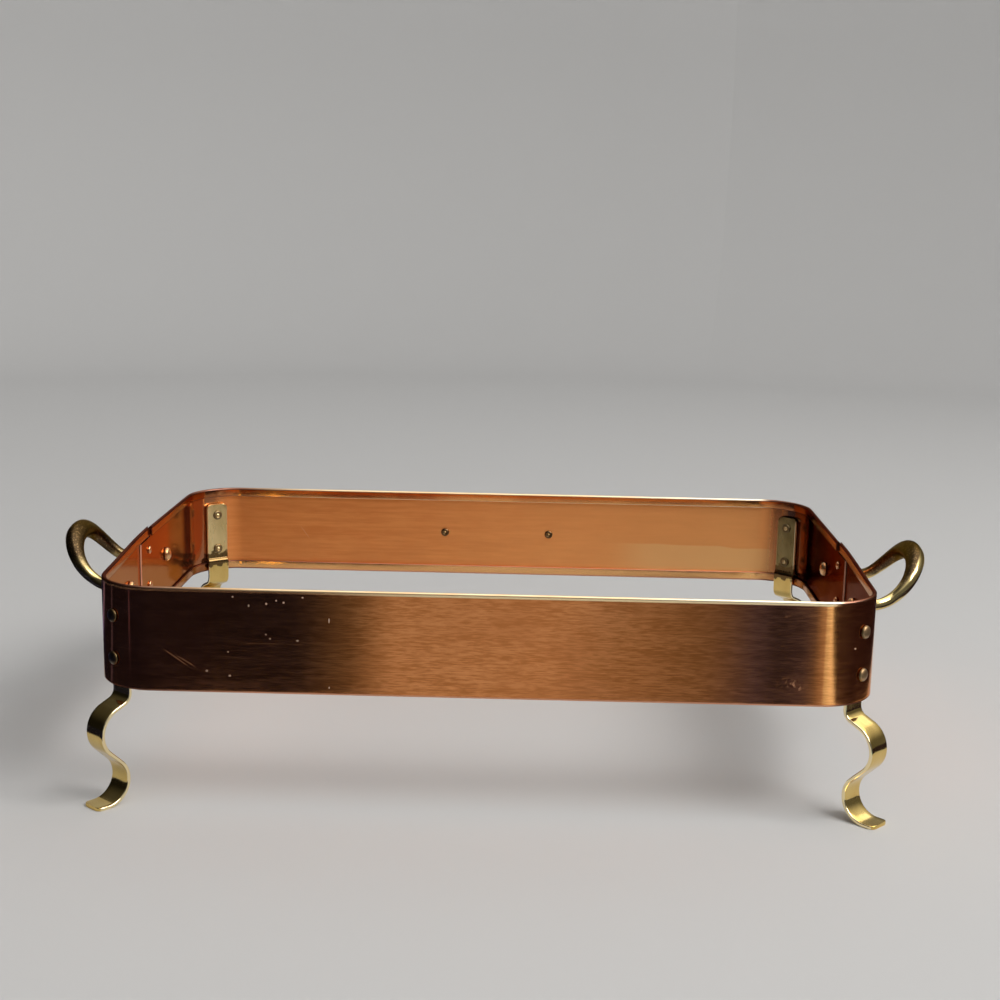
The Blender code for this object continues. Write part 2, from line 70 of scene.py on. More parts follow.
# Band, as in the CAD source
END_CROWN = 0.0038
HALF_LENGTH = LAP_X - END_CROWN
REAR_RIGHT_SPREAD = 0.0026
CLEARANCE = 0.0003
CORNER_RADIUS = 0.0264
SHEET = 0.0008
HEM_GAP = 0.0003
HEM_THICKNESS = 2 * SHEET + HEM_GAP
LIP_HEIGHT = 0.0048
FRONT_LIP_END = 0.0040
REAR_LIP_END = 0.0062
TONGUE_INSET = LIP_HEIGHT + 2 * CLEARANCE
LAP_MARGIN = 0.001
CUT_MARGIN = 0.002
HANDLE_HEIGHT = 0.0257
HANDLE_PITCH = 0.072

# Band, its fine surface
WALL_STEP = 0.004
CORNER_STEPS = 36
FOLD_STEPS = 12
SMALL_STEPS = 4
WALL_ROWS = 12
KINK_SMOOTHING = 12
WAVE_HEIGHT = 0.00010
WAVE_LENGTH = 0.060

# Where the hems turn darker on the end walls
HEM_END_START = 0.156

# Marks on the front wall's outside: (x, height above the table, half the width, half the height)
SPECKS = [
    (-0.1093, 0.0969, 0.0004, 0.0004), (-0.1024, 0.0931, 0.0003, 0.0006), (-0.0948, 0.0941, 0.0005, 0.0005),
    (-0.0905, 0.0956, 0.0004, 0.0004), (-0.0873, 0.0948, 0.0005, 0.0005), (-0.0791, 0.0972, 0.0005, 0.0004),
    (-0.0951, 0.0804, 0.0003, 0.0003), (-0.0933, 0.0785, 0.0003, 0.0003), (-0.0814, 0.0779, 0.0006, 0.0003),
    (-0.1116, 0.0722, 0.0003, 0.0003), (-0.121, 0.0634, 0.0005, 0.0004), (-0.111, 0.0614, 0.0006, 0.0004),
    (-0.0677, 0.0872, 0.0003, 0.0014), (-0.0677, 0.057, 0.0003, 0.0006), (0.16, 0.079, 0.0006, 0.0006),
]
SMUDGES = [(0.1294, 0.0938, 0.0014, 0.0011), (0.1302, 0.0903, 0.0008, 0.0014), (0.133, 0.063, 0.0085, 0.005)]
# Scratches there: (x, height, half the length, half the width, angle above the horizontal, strength)
SCRATCHES = [(-0.1343, 0.069, 0.0078, 0.00028, radians(-35), 0.26),
             (-0.1301, 0.0676, 0.0062, 0.00028, radians(-31), 0.24),
             (-0.095, 0.0763, 0.02, 0.00016, 0.0, 0.12)]
# One scratch inside the rear wall, told in the same way
SCRATCH_INSIDE = (-0.1096, 0.0755, 0.0057, 0.0002, radians(-54))
MARK_DEPTH = 0.004
BUMP_DISTANCE = 0.00003
# The copper's darker colour where it nears an end wall; inside the right end it is painted shade
END_COPPER = (0.4, 0.15, 0.06)

# Legs
LEG_TURNS = {"front_left": radians(49), "front_right": radians(45),
             "rear_left": radians(55.5), "rear_right": radians(47.4)}
STRAP_WIDTH = 0.0121
STRAP_THICKNESS = 0.0016
STRAP_EDGE = 0.00045
# Extra points across each flat face, as shares of its half width
FACE_SHARES = (0.6, 0.2, -0.2, -0.6)
STRAP_TOP = BAND_HEIGHT - 0.0086
STRAP_TOP_ROUNDING = 0.0026
JOGGLE_RADIUS = 0.0018
JOGGLE_ANGLE = radians(55)
LEG_DROP = 0.0030
HIP_RADIUS = 0.0049
HIP_TURN = radians(67.5)
HIP_RUN = 0.0047
KNEE_RADIUS = 0.0115
KNEE_TURN = radians(113.5)
ANKLE_RADIUS = 0.0110
FOOT_RUN = 0.0052
FOOT_ROUNDING = 0.0025
BEND_STEP = radians(3)
RUN_STEP = 0.0015
END_STEPS = 6
DENT_HEIGHT = 0.00006
DENT_LENGTH = 0.009

# Rivets: (size of the head, the shank and the tail)
LEG_RIVET = (0.0060, 0.0030, 0.0052)
LAP_RIVET = (0.0046, 0.0022, 0.0038)
REAR_RIVET = (0.0050, 0.0026, 0.0045)
HANDLE_RIVET = (0.0072, 0.0024, 0.0)
HANDLE_RIVET_DEPTH = 0.0040
LEG_RIVET_HEIGHTS = {"upper": BAND_HEIGHT - 0.0148, "lower": 0.0129}
LAP_RIVET_HEIGHTS = {"upper": BAND_HEIGHT - 0.0113, "lower": 0.0176}
LAP_RIVET_OFFSET = 0.0028
REAR_RIVET_SPACING = 0.059
REAR_RIVET_HEIGHT = 0.0238
HEAD_FLATNESS = 0.26
HANDLE_HEAD_FLATNESS = 0.36
RIM_FLATNESS = 0.05
# Thickness of a rolled tail's ring, and how far its middle stands back from the strap
TAIL_RING = 0.0008
TAIL_DISH = 0.0002
RIVET_STEPS = 40
DOME_STEPS = 9
RING_STEPS = 10
HAMMER_HEIGHT = 0.00004
HAMMER_LENGTH = 0.0016

# Handles
HANDLE_REACH = 0.0328
HANDLE_RISE = 0.0189
HANDLE_ROOT_RUN = 0.006
NECK_REACH = 0.0202
NECK_SPREAD = 0.0521
NECK_RISE = 0.0024
NECK_SLOPE = radians(38)
NECK_TAPER = radians(9)
NECK_PULL_IN = 0.0092
NECK_PULL_OUT = 0.0104
BOW_PULL = 0.0180
BOW_SHIFTS = {"left": 0.0040, "right": -0.0015}
HANDLE_TILT = radians(41)
BOW_WIDTH = 0.0097
BOW_THICKNESS = 0.0083
ROOT_SIZE = 0.0052
ROOT_LENGTH = 0.016
HANDLE_FOOT = 0.0084
HANDLE_FOOT_LENGTH = 0.0032
SECTION_POWER = 2.6
SECTION_POINTS = 48
NECK_STEPS = 36
BOW_STEPS = 44
CAST_HEIGHT = 0.00006
CAST_LENGTH = 0.006

SIDES = {"left": -1, "right": 1}
HALVES = {"front": -1, "rear": 1}
SHARP_ANGLE = radians(40)

# The band's finishes, in the order of its material slots
OUTSIDE, HEM, INSIDE, LIP, CUT, HEM_END, SHADED_END_WALL = range(7)

# Stage: a floor that sweeps up all round, and which part of the sweep reflections show
FLOOR_RADIUS = 1.5
COVE_BEND = 0.5
COVE_BEND_STEPS = 24
COVE_HEIGHT = 1.6
COVE_STEP = radians(5)
COVE_MIRRORED = (radians(80), radians(125))
FLOOR_GREY = (0.59, 0.59, 0.59)
MATT = 0.9

# What the front wall mirrors: sheets on the floor that only reflections show, a painted reflection of the
# room. The middle one glows, though it is no lamp, and fans out from the camera's mirror image; each line of
# it has a slope and a tone.
SHEET_LIFT = 0.001
MIRRORED_EYE = (0.0157, 0.552)
MIRROR_NEAR = -0.21
MIRROR_FAR = -1.5
MIRROR_TONES = [
    (-0.2, 0.01), (-0.15, 0.012), (-0.118, 0.1), (-0.084, 0.46), (0.01, 0.5), (0.06, 0.34), (0.115, 0.2),
    (0.15, 0.07), (0.166, 0.02), (0.184, 0.06), (0.192, 0.2), (0.2, 0.45), (0.22, 0.8), (0.27, 1.25),
    (0.33, 2.0), (0.5, 2.2),
]
# The darkest tones are bluish, the brightest ones cool
DARK_TONE, DARK_BELOW = (0.9, 1.1, 2.8), 0.1
WHITE_TONE, WHITE_ABOVE = (1.0, 1.28, 1.30), 0.7
# Dark sheets to both sides of it, painted dark reflections: (outline, colour)
DARK_SHEETS = {
    "dark_left": ([(-0.137, -0.21), (-0.26, -0.10), (-0.25, 0.28), (-1.5, 0.90), (-1.5, -1.5), (-0.39, -1.5)],
                  (0.012, 0.013, 0.034)),
    "dark_right": ([(0.244, -0.21), (0.552, -1.5), (1.5, -1.5), (1.5, 0.4), (0.298, 0.4), (0.298, -0.10),
                    (0.262, -0.13)], (0.024, 0.016, 0.026)),
}
# Thin pale lines over the dark sheets: (outline, glow)
GLINTS = {
    "glint_corner": ([(-0.43, -0.31), (-0.39, -0.267), (-0.382, -0.275), (-0.422, -0.318)],
                     (0.32, 0.25, 0.65)),
    "glint_rivets": ([(-0.56, -0.062), (-0.56, -0.04), (-0.3, -0.04), (-0.3, -0.062)], (0.06, 0.07, 0.20)),
    "glint_edge": ([(-0.5, 0.13), (-0.5, 0.165), (-0.28, 0.15), (-0.28, 0.12)], (0.22, 0.24, 0.60)),
}

# Lamps: (place, target, size, power, colour)
LAMPS = {
    "key": ((1.45, -0.82, 1.64), (0.0, 0.0, 0.05), (1.6, 1.4), 46, (1.0, 0.98, 0.95)),
    "ceiling": ((0.5, 0.3, 2.0), (0.0, 0.1, 0.0), (3.4, 3.0), 36, (1.0, 0.98, 0.93)),
}
# Brightness of the world along each axis: (low limit, high limit, brightness below and above them)
WORLD_RAMPS = {"Z": (0.22, 0.75, 0.08, 0.62), "X": (-0.6, 0.5, 0.10, 1.5)}
WORLD_COLOUR = (1.0, 0.99, 0.97)


# Mesh helpers


def arc(centre, radius, start, end, steps):
    """Points on an arc in a plane."""
    angles = [start + (end - start) * i / steps for i in range(steps + 1)]
    return [(centre[0] + radius * cos(a), centre[1] + radius * sin(a)) for a in angles]


def rough(point, height, length, seed=0.0):
    """A smooth random offset that depends only on the place."""
    return height * noise.noise(Vector(point) / length + Vector((seed, seed, seed)))


def distances(points):
    """How far each point of a line lies along it."""
    result = [0.0]
    for a, b in zip(points, points[1:]):
        result.append(result[-1] + (b - a).length)
    return result


def skin(rings, slots=None):
    """Close a row of equal rings into one solid, with U along the rings and V round them."""
    form = bmesh.new()
    uv = form.loops.layers.uv.new("UVMap")
    rows = [[form.verts.new(point) for point in ring] for ring in rings]
    count = len(rows[0])
    middles = [sum((v.co for v in row), Vector()) / count for row in rows]
    along = distances(middles)
    round_it = distances([v.co for v in rows[0] + rows[0][:1]])
    for k in range(len(rows) - 1):
        for i in range(count):
            j = (i + 1) % count
            face = form.faces.new((rows[k][i], rows[k][j], rows[k + 1][j], rows[k + 1][i]))
            face.material_index = slots[i] if slots else 0
            places = [(k, i), (k, i + 1), (k + 1, i + 1), (k + 1, i)]
            for loop, (station, turn) in zip(face.loops, places):
                loop[uv].uv = (along[station], round_it[turn])
    for row in (rows[0], rows[-1]):
        form.faces.new(row).material_index = CUT if slots else 0
    return form


def bare_mesh(name, form):
    mesh = bpy.data.meshes.new(name)
    form.to_mesh(mesh)
    form.free()
    return mesh


def mesh_from(name, form):
    """Turn a bmesh into a smoothly shaded mesh with its faces pointing out."""
    bmesh.ops.recalc_face_normals(form, faces=form.faces)
    mesh = bare_mesh(name, form)
    mesh.shade_smooth()
    mesh.set_sharp_from_angle(angle=SHARP_ANGLE)
    return mesh


def add_object(name, data):
    thing = bpy.data.objects.new(name, data)
    bpy.context.scene.collection.objects.link(thing)
    return thing


def show(name, mesh, finishes, matrix=Matrix()):
    """Put one piece in the place of its CAD node."""
    piece = add_object(name + "_look", mesh)
    piece.matrix_world = matrix
    for finish in finishes:
        mesh.materials.append(finish.material)
    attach(piece, "root")
    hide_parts(name)
    return piece


# Shader helpers


class Value:
    """A shader value that is added and multiplied like a number."""

    def __init__(self, graph, socket):
        self.graph, self.socket = graph, socket

    def __add__(self, other):
        return self.graph.math("ADD", self, other)

    def __mul__(self, other):
        return self.graph.math("MULTIPLY", self, other)


class Graph:
    """The nodes of one material or world."""

    def __init__(self, owner):
        owner.use_nodes = True
        self.nodes = owner.node_tree.nodes
        self.links = owner.node_tree.links

    def add(self, kind, inputs=None, **settings):
        node = self.nodes.new(kind)
        for name, value in settings.items():
            setattr(node, name, value)
        for key, value in (inputs or {}).items():
            self.feed(node.inputs[key], value)
        return node

    def feed(self, socket, value):
        """Link a socket to a value, or set it; a colour is given as three numbers."""
        if isinstance(value, Value):
            value = value.socket
        if isinstance(value, bpy.types.NodeSocket):
            self.links.new(value, socket)
        else:
            socket.default_value = (*value, 1.0) if socket.type == "RGBA" else value

    def math(self, operation, *values):
        node = self.add("ShaderNodeMath", dict(enumerate(values)), operation=operation)
        return Value(self, node.outputs[0])

    def most(self, first, *others):
        """The largest of several values."""
        for other in others:
            first = self.math("MAXIMUM", first, other)
        return first

    def band(self, value, low, high, to_low=0.0, to_high=1.0):
        """Ease from one value to another between two limits."""
        inputs = {"Value": value, "From Min": low, "From Max": high, "To Min": to_low, "To Max": to_high}
        node = self.add("ShaderNodeMapRange", inputs, interpolation_type="SMOOTHSTEP")
        return Value(self, node.outputs["Result"])

    def part(self, name, vector):
        """One axis of a vector."""
        return Value(self, self.add("ShaderNodeSeparateXYZ", {0: vector}).outputs[name])


class Finish(Graph):
    """One procedural material, a metal unless told otherwise."""

    def __init__(self, name, colour, roughness, metallic=1.0):
        self.material = bpy.data.materials.new(name)
        super().__init__(self.material)
        self.shader = self.nodes["Principled BSDF"]
        self.set("Metallic", metallic)
        self.set("Base Color", colour)
        self.set("Roughness", roughness)
        self.material.diffuse_color = (*colour, 1.0)
        self.place = self.add("ShaderNodeTexCoord").outputs["Object"]
        self.sheet = self.add("ShaderNodeUVMap", uv_map="UVMap").outputs["UV"]

    def set(self, name, value):
        self.feed(self.shader.inputs[name], value)

    def axis(self, name):
        return self.part(name, self.place)

    def noise(self, vector, scale, detail=3.0, roughness=0.5):
        stretched = self.add("ShaderNodeMapping", {"Vector": vector, "Scale": scale}).outputs[0]
        inputs = {"Vector": stretched, "Scale": 1.0, "Detail": detail, "Roughness": roughness}
        return Value(self, self.add("ShaderNodeTexNoise", inputs).outputs["Fac"])

    def mark(self, centre, size, turn=0.0, core=0.5):
        """A small oval round a point, turned in the X-Z plane: 1 in its core and 0 outside."""
        inputs = {"Vector": self.place, "Location": centre, "Rotation": (0.0, turn, 0.0), "Scale": size}
        oval = self.add("ShaderNodeMapping", inputs, vector_type="TEXTURE").outputs[0]
        length = self.add("ShaderNodeVectorMath", {0: oval}, operation="LENGTH").outputs["Value"]
        return self.band(length, core, 1.0, 1.0, 0.0)

    def mix(self, share, one, other):
        return self.add("ShaderNodeMix", {0: share, 6: one, 7: other}, data_type="RGBA").outputs[2]

    def toward(self, one, other, value, *limits):
        """Turn one colour into another as a value passes between two limits."""
        return self.mix(self.band(value, *limits), one, other)

    def relief(self, height, strength):
        """Raise and sink the surface a little."""
        inputs = {"Height": height, "Strength": strength, "Distance": BUMP_DISTANCE}
        self.set("Normal", self.add("ShaderNodeBump", inputs).outputs[0])

    def brush_along(self, amount):
        """Stretch highlights across brush marks that run along U."""
        self.set("Tangent", self.add("ShaderNodeTangent", direction_type="UV_MAP", uv_map="UVMap").outputs[0])
        self.set("Anisotropic", amount)
        self.set("Anisotropic Rotation", 0.25)

    def tint(self, colour):
        """Keep the metal's colour where it is seen at a low angle."""
        self.set("Specular Tint", colour)


# Finishes


def copper_outside():
    """Lacquered copper with level brush marks, scratched and smudged, its upper edge worn pale and painted
    paler still as a highlight, most toward the right.
    """
    look = Finish("copper_outside", (0.79, 0.3, 0.1), 0.16)
    streaks = look.noise(look.sheet, (110, 700, 1), 4.0, 0.6)
    grain = look.noise(look.sheet, (180, 1700, 1), 2.0)
    broad = look.noise(look.sheet, (35, 260, 1))
    cloud = look.noise(look.place, (22, 22, 34), 4.0, 0.6)
    marks = streaks * 0.35 + grain * 0.4 + broad * 0.25
    tone = look.toward((0.62, 0.215, 0.06), (0.93, 0.37, 0.13), marks, 0.4, 0.6)
    tone = look.toward(tone, (0.66, 0.23, 0.07), cloud, 0.35, 0.7, 0.0, 0.5)
    face = -BAND_WIDTH / 2
    smudge = look.most(*(look.mark((x, face, z), (a, MARK_DEPTH, b), core=0.2) for x, z, a, b in SMUDGES))
    spots = look.noise(look.place, (800, 800, 800))
    smudge *= look.band(spots, 0.5, 0.66, 0.0, 0.3)
    specks = [look.mark((x, face, z), (a, 2 * MARK_DEPTH, b)) for x, z, a, b in SPECKS]
    lines = [look.mark((x, face, z), (a, MARK_DEPTH, b), -turn) * strength
             for x, z, a, b, turn, strength in SCRATCHES]
    dust = look.most(smudge, *specks, *lines)
    # The worn top edge is partly real wear and partly a painted highlight, weaker toward the left and gone
    # past the right corner.
    top = TABLE_TO_BAND + BAND_HEIGHT
    across = look.axis("X")
    along = look.band(across, -0.1, -0.02, 0.2, 1.0) * look.band(across, 0.146, 0.154, 1.0, 0.0)
    worn = look.band(look.axis("Z"), top - 0.002, top - 0.0015) * along
    tone = look.mix(worn, tone, (0.98, 0.78, 0.46))
    look.set("Base Color", look.mix(dust, tone, (0.62, 0.45, 0.36)))
    look.set("Roughness", look.band(marks, 0.3, 0.7, 0.11, 0.17) + worn * 0.3 + dust * 0.4)
    look.set("Metallic", look.math("SUBTRACT", 1.0, look.most(dust, worn * 0.5)))
    look.brush_along(0.9)
    look.tint((1.0, 0.8, 0.62))
    look.relief(marks, 0.25)
    return look


def copper_inside():
    """Satin inside of the walls, polished and browner toward the ends; toward the right end it darkens as
    painted shade, and the right end wall's shaded finish takes over there.
    """
    look = Finish("copper_inside", (0.84, 0.36, 0.14), 0.4)
    streaks = look.noise(look.sheet, (9, 420, 1), 5.0, 0.62)
    specks = look.noise(look.sheet, (60, 500, 1), 3.0, 0.6)
    cloud = look.noise(look.place, (18, 18, 40))
    marks = streaks * 0.5 + specks * 0.5
    across = look.axis("X")
    tone = look.toward((0.9, 0.33, 0.095), (1.0, 0.415, 0.13), marks, 0.36, 0.64)
    tone = look.toward(tone, (0.8, 0.3, 0.09), cloud, 0.4, 0.7, 0.0, 0.5)
    tone = look.toward(tone, (1.0, 0.47, 0.165), across, -0.1, 0.12, 0.0, 0.7)
    border = look.axis("Z") + cloud * -0.006
    stain = look.band(border, 0.0692, 0.07, 1.0, 0.0) * look.band(across, 0.06, 0.09)
    tone = look.mix(stain * 0.75, tone, (1.0, 0.57, 0.23))
    x, z, a, b, turn = SCRATCH_INSIDE
    scratch = look.mark((x, BAND_WIDTH / 2, z), (a, MARK_DEPTH, b), -turn)
    tone = look.mix(scratch * 0.5, tone, (1.0, 0.62, 0.36))
    left = look.band(across, -0.166, -0.15, 1.0, 0.0)
    # Painted shade toward the right end wall.
    right = look.band(across, 0.15, 0.16)
    tone = look.mix(left, tone, (0.47, 0.19, 0.09))
    look.set("Base Color", look.mix(right, tone, END_COPPER))
    look.set("Roughness", (left + right) * -0.3 + look.band(marks, 0.3, 0.7, 0.4, 0.46))
    look.set("Metallic", 0.95)
    look.set("Coat Weight", 0.06)
    look.set("Coat Roughness", 0.05)
    look.brush_along(0.5)
    look.tint((0.85, 0.52, 0.32))
    look.relief(marks, 0.1)
    return look


def copper_end_wall_shaded():
    """Polished inside of the right end wall, painted dark brown as shade."""
    look = Finish("copper_end_wall_shaded", (0.22, 0.08, 0.05), 0.13)
    streaks = look.noise(look.sheet, (9, 420, 1), 5.0, 0.62)
    patches = look.noise(look.place, (40, 40, 60), 3.0, 0.6)
    look.set("Base Color", look.toward((0.2, 0.09, 0.065), (0.32, 0.14, 0.09), patches, 0.38, 0.62))
    look.set("Roughness", look.band(streaks, 0.3, 0.7, 0.1, 0.16))
    look.tint((0.36, 0.21, 0.18))
    look.relief(streaks, 0.1)
    return look


def copper_cut():
    """Freshly sheared ends of the sheet, where the halves of the band overlap, pale as fresh copper and
    partly as a painted highlight.
    """
    return Finish("copper_cut", (0.98, 0.62, 0.46), 0.5, metallic=0.6)


def copper_hem():
    """Satin fold along both edges, worn bright and partly painted pale as a highlight, most toward the right;
    painted shade darkens it toward the left end and at the right corner, and the lower fold is darker.
    """
    look = Finish("copper_hem", (0.94, 0.64, 0.4), 0.32)
    wear = look.noise(look.place, (60, 60, 200))
    across = look.axis("X")
    tone = look.toward((0.97, 0.74, 0.45), (0.92, 0.62, 0.34), wear, 0.35, 0.75)
    # Painted highlight: paler toward the right.
    tone = look.toward(tone, (1.0, 0.86, 0.64), across, 0.05, 0.12)
    tone = look.toward(tone, (0.72, 0.34, 0.2), look.axis("Z"), 0.06, 0.07, 1.0, 0.0)
    # Painted shade: darker toward the left end and at the right corner.
    ends = look.band(across, -0.153, -0.09, 1.0, 0.0) + look.band(across, 0.148, 0.155)
    look.set("Base Color", look.mix(ends, tone, (0.26, 0.12, 0.08)))
    look.set("Roughness", look.band(wear, 0.3, 0.7, 0.3, 0.36))
    look.tint((1.0, 0.88, 0.7))
    return look


def copper_hem_end():
    """The same fold on the end walls, in dark brown."""
    look = Finish("copper_hem_end", (0.24, 0.11, 0.08), 0.33)
    wear = look.noise(look.place, (60, 60, 200))
    look.set("Base Color", look.toward((0.28, 0.13, 0.085), (0.18, 0.08, 0.06), wear, 0.35, 0.75))
    look.tint((0.28, 0.16, 0.12))
    return look


def copper_lip():
    """The folded edge's polished face, browner on the end walls; painted light makes it lighter toward the
    right and on the lower lip.
    """
    look = Finish("copper_lip", (0.72, 0.28, 0.09), 0.16)
    streaks = look.noise(look.sheet, (90, 900, 1), 3.0, 0.6)
    patches = look.noise(look.place, (30, 30, 30), 3.0, 0.6)
    across = look.axis("X")
    tone = look.toward((0.62, 0.22, 0.07), (0.9, 0.42, 0.14), patches, 0.38, 0.62)
    # Painted light: lighter toward the right and on the lower lip.
    tone = look.toward(tone, (1.0, 0.5, 0.17), across, -0.04, 0.08, 0.0, 0.6)
    tone = look.toward(tone, (1.0, 0.55, 0.22), look.axis("Z"), 0.06, 0.07, 0.85, 0.0)
    ends = look.math("ABSOLUTE", across)
    look.set("Base Color", look.toward(tone, END_COPPER, ends, 0.148, 0.162))
    look.set("Roughness", look.band(streaks, 0.3, 0.7, 0.12, 0.2))
    look.brush_along(0.6)
    look.tint((1.0, 0.8, 0.62))
    look.relief(streaks, 0.2)
    return look


def leg_brass(name, dull, dark):
    """Polished below the band, dull where the strap lies inside it, with painted highlights along its edges
    and a painted dark reflection, with a ragged border, at the crumpled joggle.
    """
    bright, worn = (0.82, 0.6, 0.21), (0.72, 0.5, 0.15)
    look = Finish(name, bright, 0.12)
    cloud = look.noise(look.place, (90, 90, 60))
    crumple = look.noise(look.place, (260, 260, 320), 2.0)
    lines = look.noise(look.sheet, (120, 3000, 1), 2.0)
    height = look.axis("Z")
    inside = look.band(height, TABLE_TO_BAND + 0.004, TABLE_TO_BAND + 0.009)
    patches = look.band(cloud, 0.35, 0.7)
    tone = look.mix(inside, look.mix(patches, bright, worn), look.mix(patches, dull, dark))
    # Painted highlight along the strap's edges.
    edge = look.math("ABSOLUTE", look.axis("Y"))
    tone = look.toward(tone, (1.0, 0.84, 0.5), edge, STRAP_WIDTH / 2 - 0.0006, STRAP_WIDTH / 2 - 0.0003)
    # Painted dark reflection at the joggle.
    joggle_reflection_level = height + crumple * 0.008
    above = look.band(joggle_reflection_level, TABLE_TO_BAND + 0.0062, TABLE_TO_BAND + 0.0074)
    below = look.band(joggle_reflection_level, TABLE_TO_BAND + 0.0138, TABLE_TO_BAND + 0.015, 1.0, 0.0)
    look.set("Base Color", look.mix(above * below, tone, (0.16, 0.1, 0.04)))
    look.set("Roughness", look.band(lines, 0.3, 0.7, 0.09, 0.17) + inside * 0.18)
    look.relief(lines, 0.08)
    return look


def handle_brass():
    """Cast brass: dark brown patina on the bow's top, worn golden and polished below it; the right handle's
    golden underside is partly a painted highlight.
    """
    look = Finish("handle_brass_look", (0.45, 0.34, 0.14), 0.25)
    low = TABLE_TO_BAND + HANDLE_HEIGHT
    cloud = look.noise(look.place, (120, 120, 120), 4.0, 0.6)
    pits = look.noise(look.place, (1100, 1100, 1100), 2.0, 0.6)
    height = look.band(look.axis("Z"), low - 0.004, low + HANDLE_RISE + 0.002)
    rear = look.band(look.axis("Y"), -0.006, 0.014, 0.0, 0.45)
    turn = look.part("Y", look.sheet)
    under = look.band(turn, 0.0145, 0.019) + look.band(turn, 0.0, 0.003, 1.0, 0.0)
    # Golden underneath the right handle only: partly rubbed wear, partly a painted highlight where the light
    # falls.
    rubbed_and_highlit = under * look.band(look.axis("X"), 0.0, 0.1, 0.0, -0.75)
    age = look.band(height + rear + rubbed_and_highlit + cloud * 0.6, 0.5, 1.05)
    golden = look.toward((0.86, 0.68, 0.32), (0.76, 0.57, 0.22), pits, 0.4, 0.7)
    brown = look.toward((0.27, 0.175, 0.085), (0.085, 0.055, 0.03), pits, 0.34, 0.46)
    look.set("Base Color", look.mix(age, golden, brown))
    look.set("Roughness", look.band(age, 0.0, 1.0, 0.13, 0.34))
    look.tint((0.62, 0.5, 0.32))
    look.relief(pits * age, 0.1)
    return look


def rivet_metal(name, light, dark, roughness, rim, ring=None, head=None):
    """Hammered rivet, tarnished in its hollows, with painted shade round its rim and in the ring of its tail.
    """
    look = Finish(name, light, roughness)
    cloud = look.noise(look.place, (500, 500, 500))
    along, across, up = (look.axis(axis) for axis in "XYZ")
    distance = look.math("SQRT", across * across + up * up)
    # Painted shade round the head's rim.
    edge = look.band(distance, 0.76 * rim, 0.98 * rim, 0.0, 0.95)
    tone = light
    if ring:
        behind = look.band(along, -0.0005, 0.0, 1.0, 0.0)
        tone = look.mix(behind, head or light, light)
        # Painted shade in the ring of a rolled tail.
        edge = look.most(edge, behind * look.band(distance, *ring, 0.0, 0.9))
    share = look.most(look.band(cloud, 0.5, 0.75, 0.0, 0.5), edge)
    look.set("Base Color", look.mix(share, tone, dark))
    look.set("Roughness", look.band(cloud, 0.3, 0.7, roughness, roughness + 0.12))
    look.relief(cloud, 0.1)
    return look


# Band


def band_bends(half):
    """Corner points of one half's outer face, seen from above and counterclockwise."""
    x, y = HALF_LENGTH, BAND_WIDTH / 2
    if half == "front":
        knee = REAR_LAP_REACH + LAP_MARGIN
        left = [(-LAP_X, FRONT_LAP_REACH), (-LAP_X, -knee), (-x, -y)]
        right = [(x, -y), (LAP_X, -knee), (LAP_X, FRONT_LAP_REACH)]
        return [Vector(p) for p in left + right]
    knee = FRONT_LAP_REACH + LAP_MARGIN
    right = [(REAR_LAP_X, -REAR_LAP_REACH), (REAR_LAP_X, knee), (x + REAR_RIGHT_SPREAD, y)]
    left = [(-x, y), (-REAR_LAP_X, knee), (-REAR_LAP_X, -REAR_LAP_REACH)]
    return [Vector(p) for p in right + left]


def corner_arc(before, corner, after):
    """Centre, first and last angle of the round corner between two walls."""
    back = (before - corner).normalized()
    ahead = (after - corner).normalized()
    half_angle = back.angle(ahead) / 2
    middle = (back + ahead).normalized()
    centre = corner + middle * CORNER_RADIUS / sin(half_angle)
    outward = atan2(-middle.y, -middle.x)
    sweep = pi / 2 - half_angle
    return centre, outward - sweep, outward + sweep


def corner_arcs(bends):
    """The two round corners of one half."""
    return [corner_arc(*bends[i - 1:i + 2]) for i in (2, 3)]


def walk(start, end, step):
    """Points from one point to another, the last one left out."""
    count = max(1, ceil((end - start).length / step))
    return [start.lerp(end, i / count) for i in range(count)]


def eased(points, rounds):
    """Smooth a line of points, its ends held."""
    for _ in range(rounds):
        inner = [(a + 2 * b + c) / 4 for a, b, c in zip(points, points[1:], points[2:])]
        points = [points[0], *inner, points[-1]]
    return points


def band_route(half):
    """The outer face of one half, seen from above, with its kinks smoothed."""
    bends = band_bends(half)
    arcs = [[Vector(p) for p in arc(centre, CORNER_RADIUS, first, last, CORNER_STEPS)]
            for centre, first, last in corner_arcs(bends)]
    start = walk(bends[0], bends[1], WALL_STEP) + walk(bends[1], arcs[0][0], WALL_STEP) + [arcs[0][0]]
    end = walk(arcs[1][-1], bends[4], WALL_STEP) + walk(bends[4], bends[5], WALL_STEP) + [bends[5]]
    start = eased(start, KINK_SMOOTHING)
    end = eased(end, KINK_SMOOTHING)
    middle = walk(arcs[0][-1], arcs[1][0], WALL_STEP)
    return start[:-1] + arcs[0][:-1] + middle + arcs[1][:-1] + end


def inward_normals(route):
    """Mitred normals that point into the stand."""
    ways = [(b - a).normalized() for a, b in zip(route, route[1:])]
    lefts = [Vector((-way.y, way.x)) for way in ways]
    pairs = zip([lefts[0]] + lefts, lefts + [lefts[-1]])
    normals = []
    for one, other in pairs:
        middle = (one + other).normalized()
        normals.append(middle / middle.dot(one))
    return normals


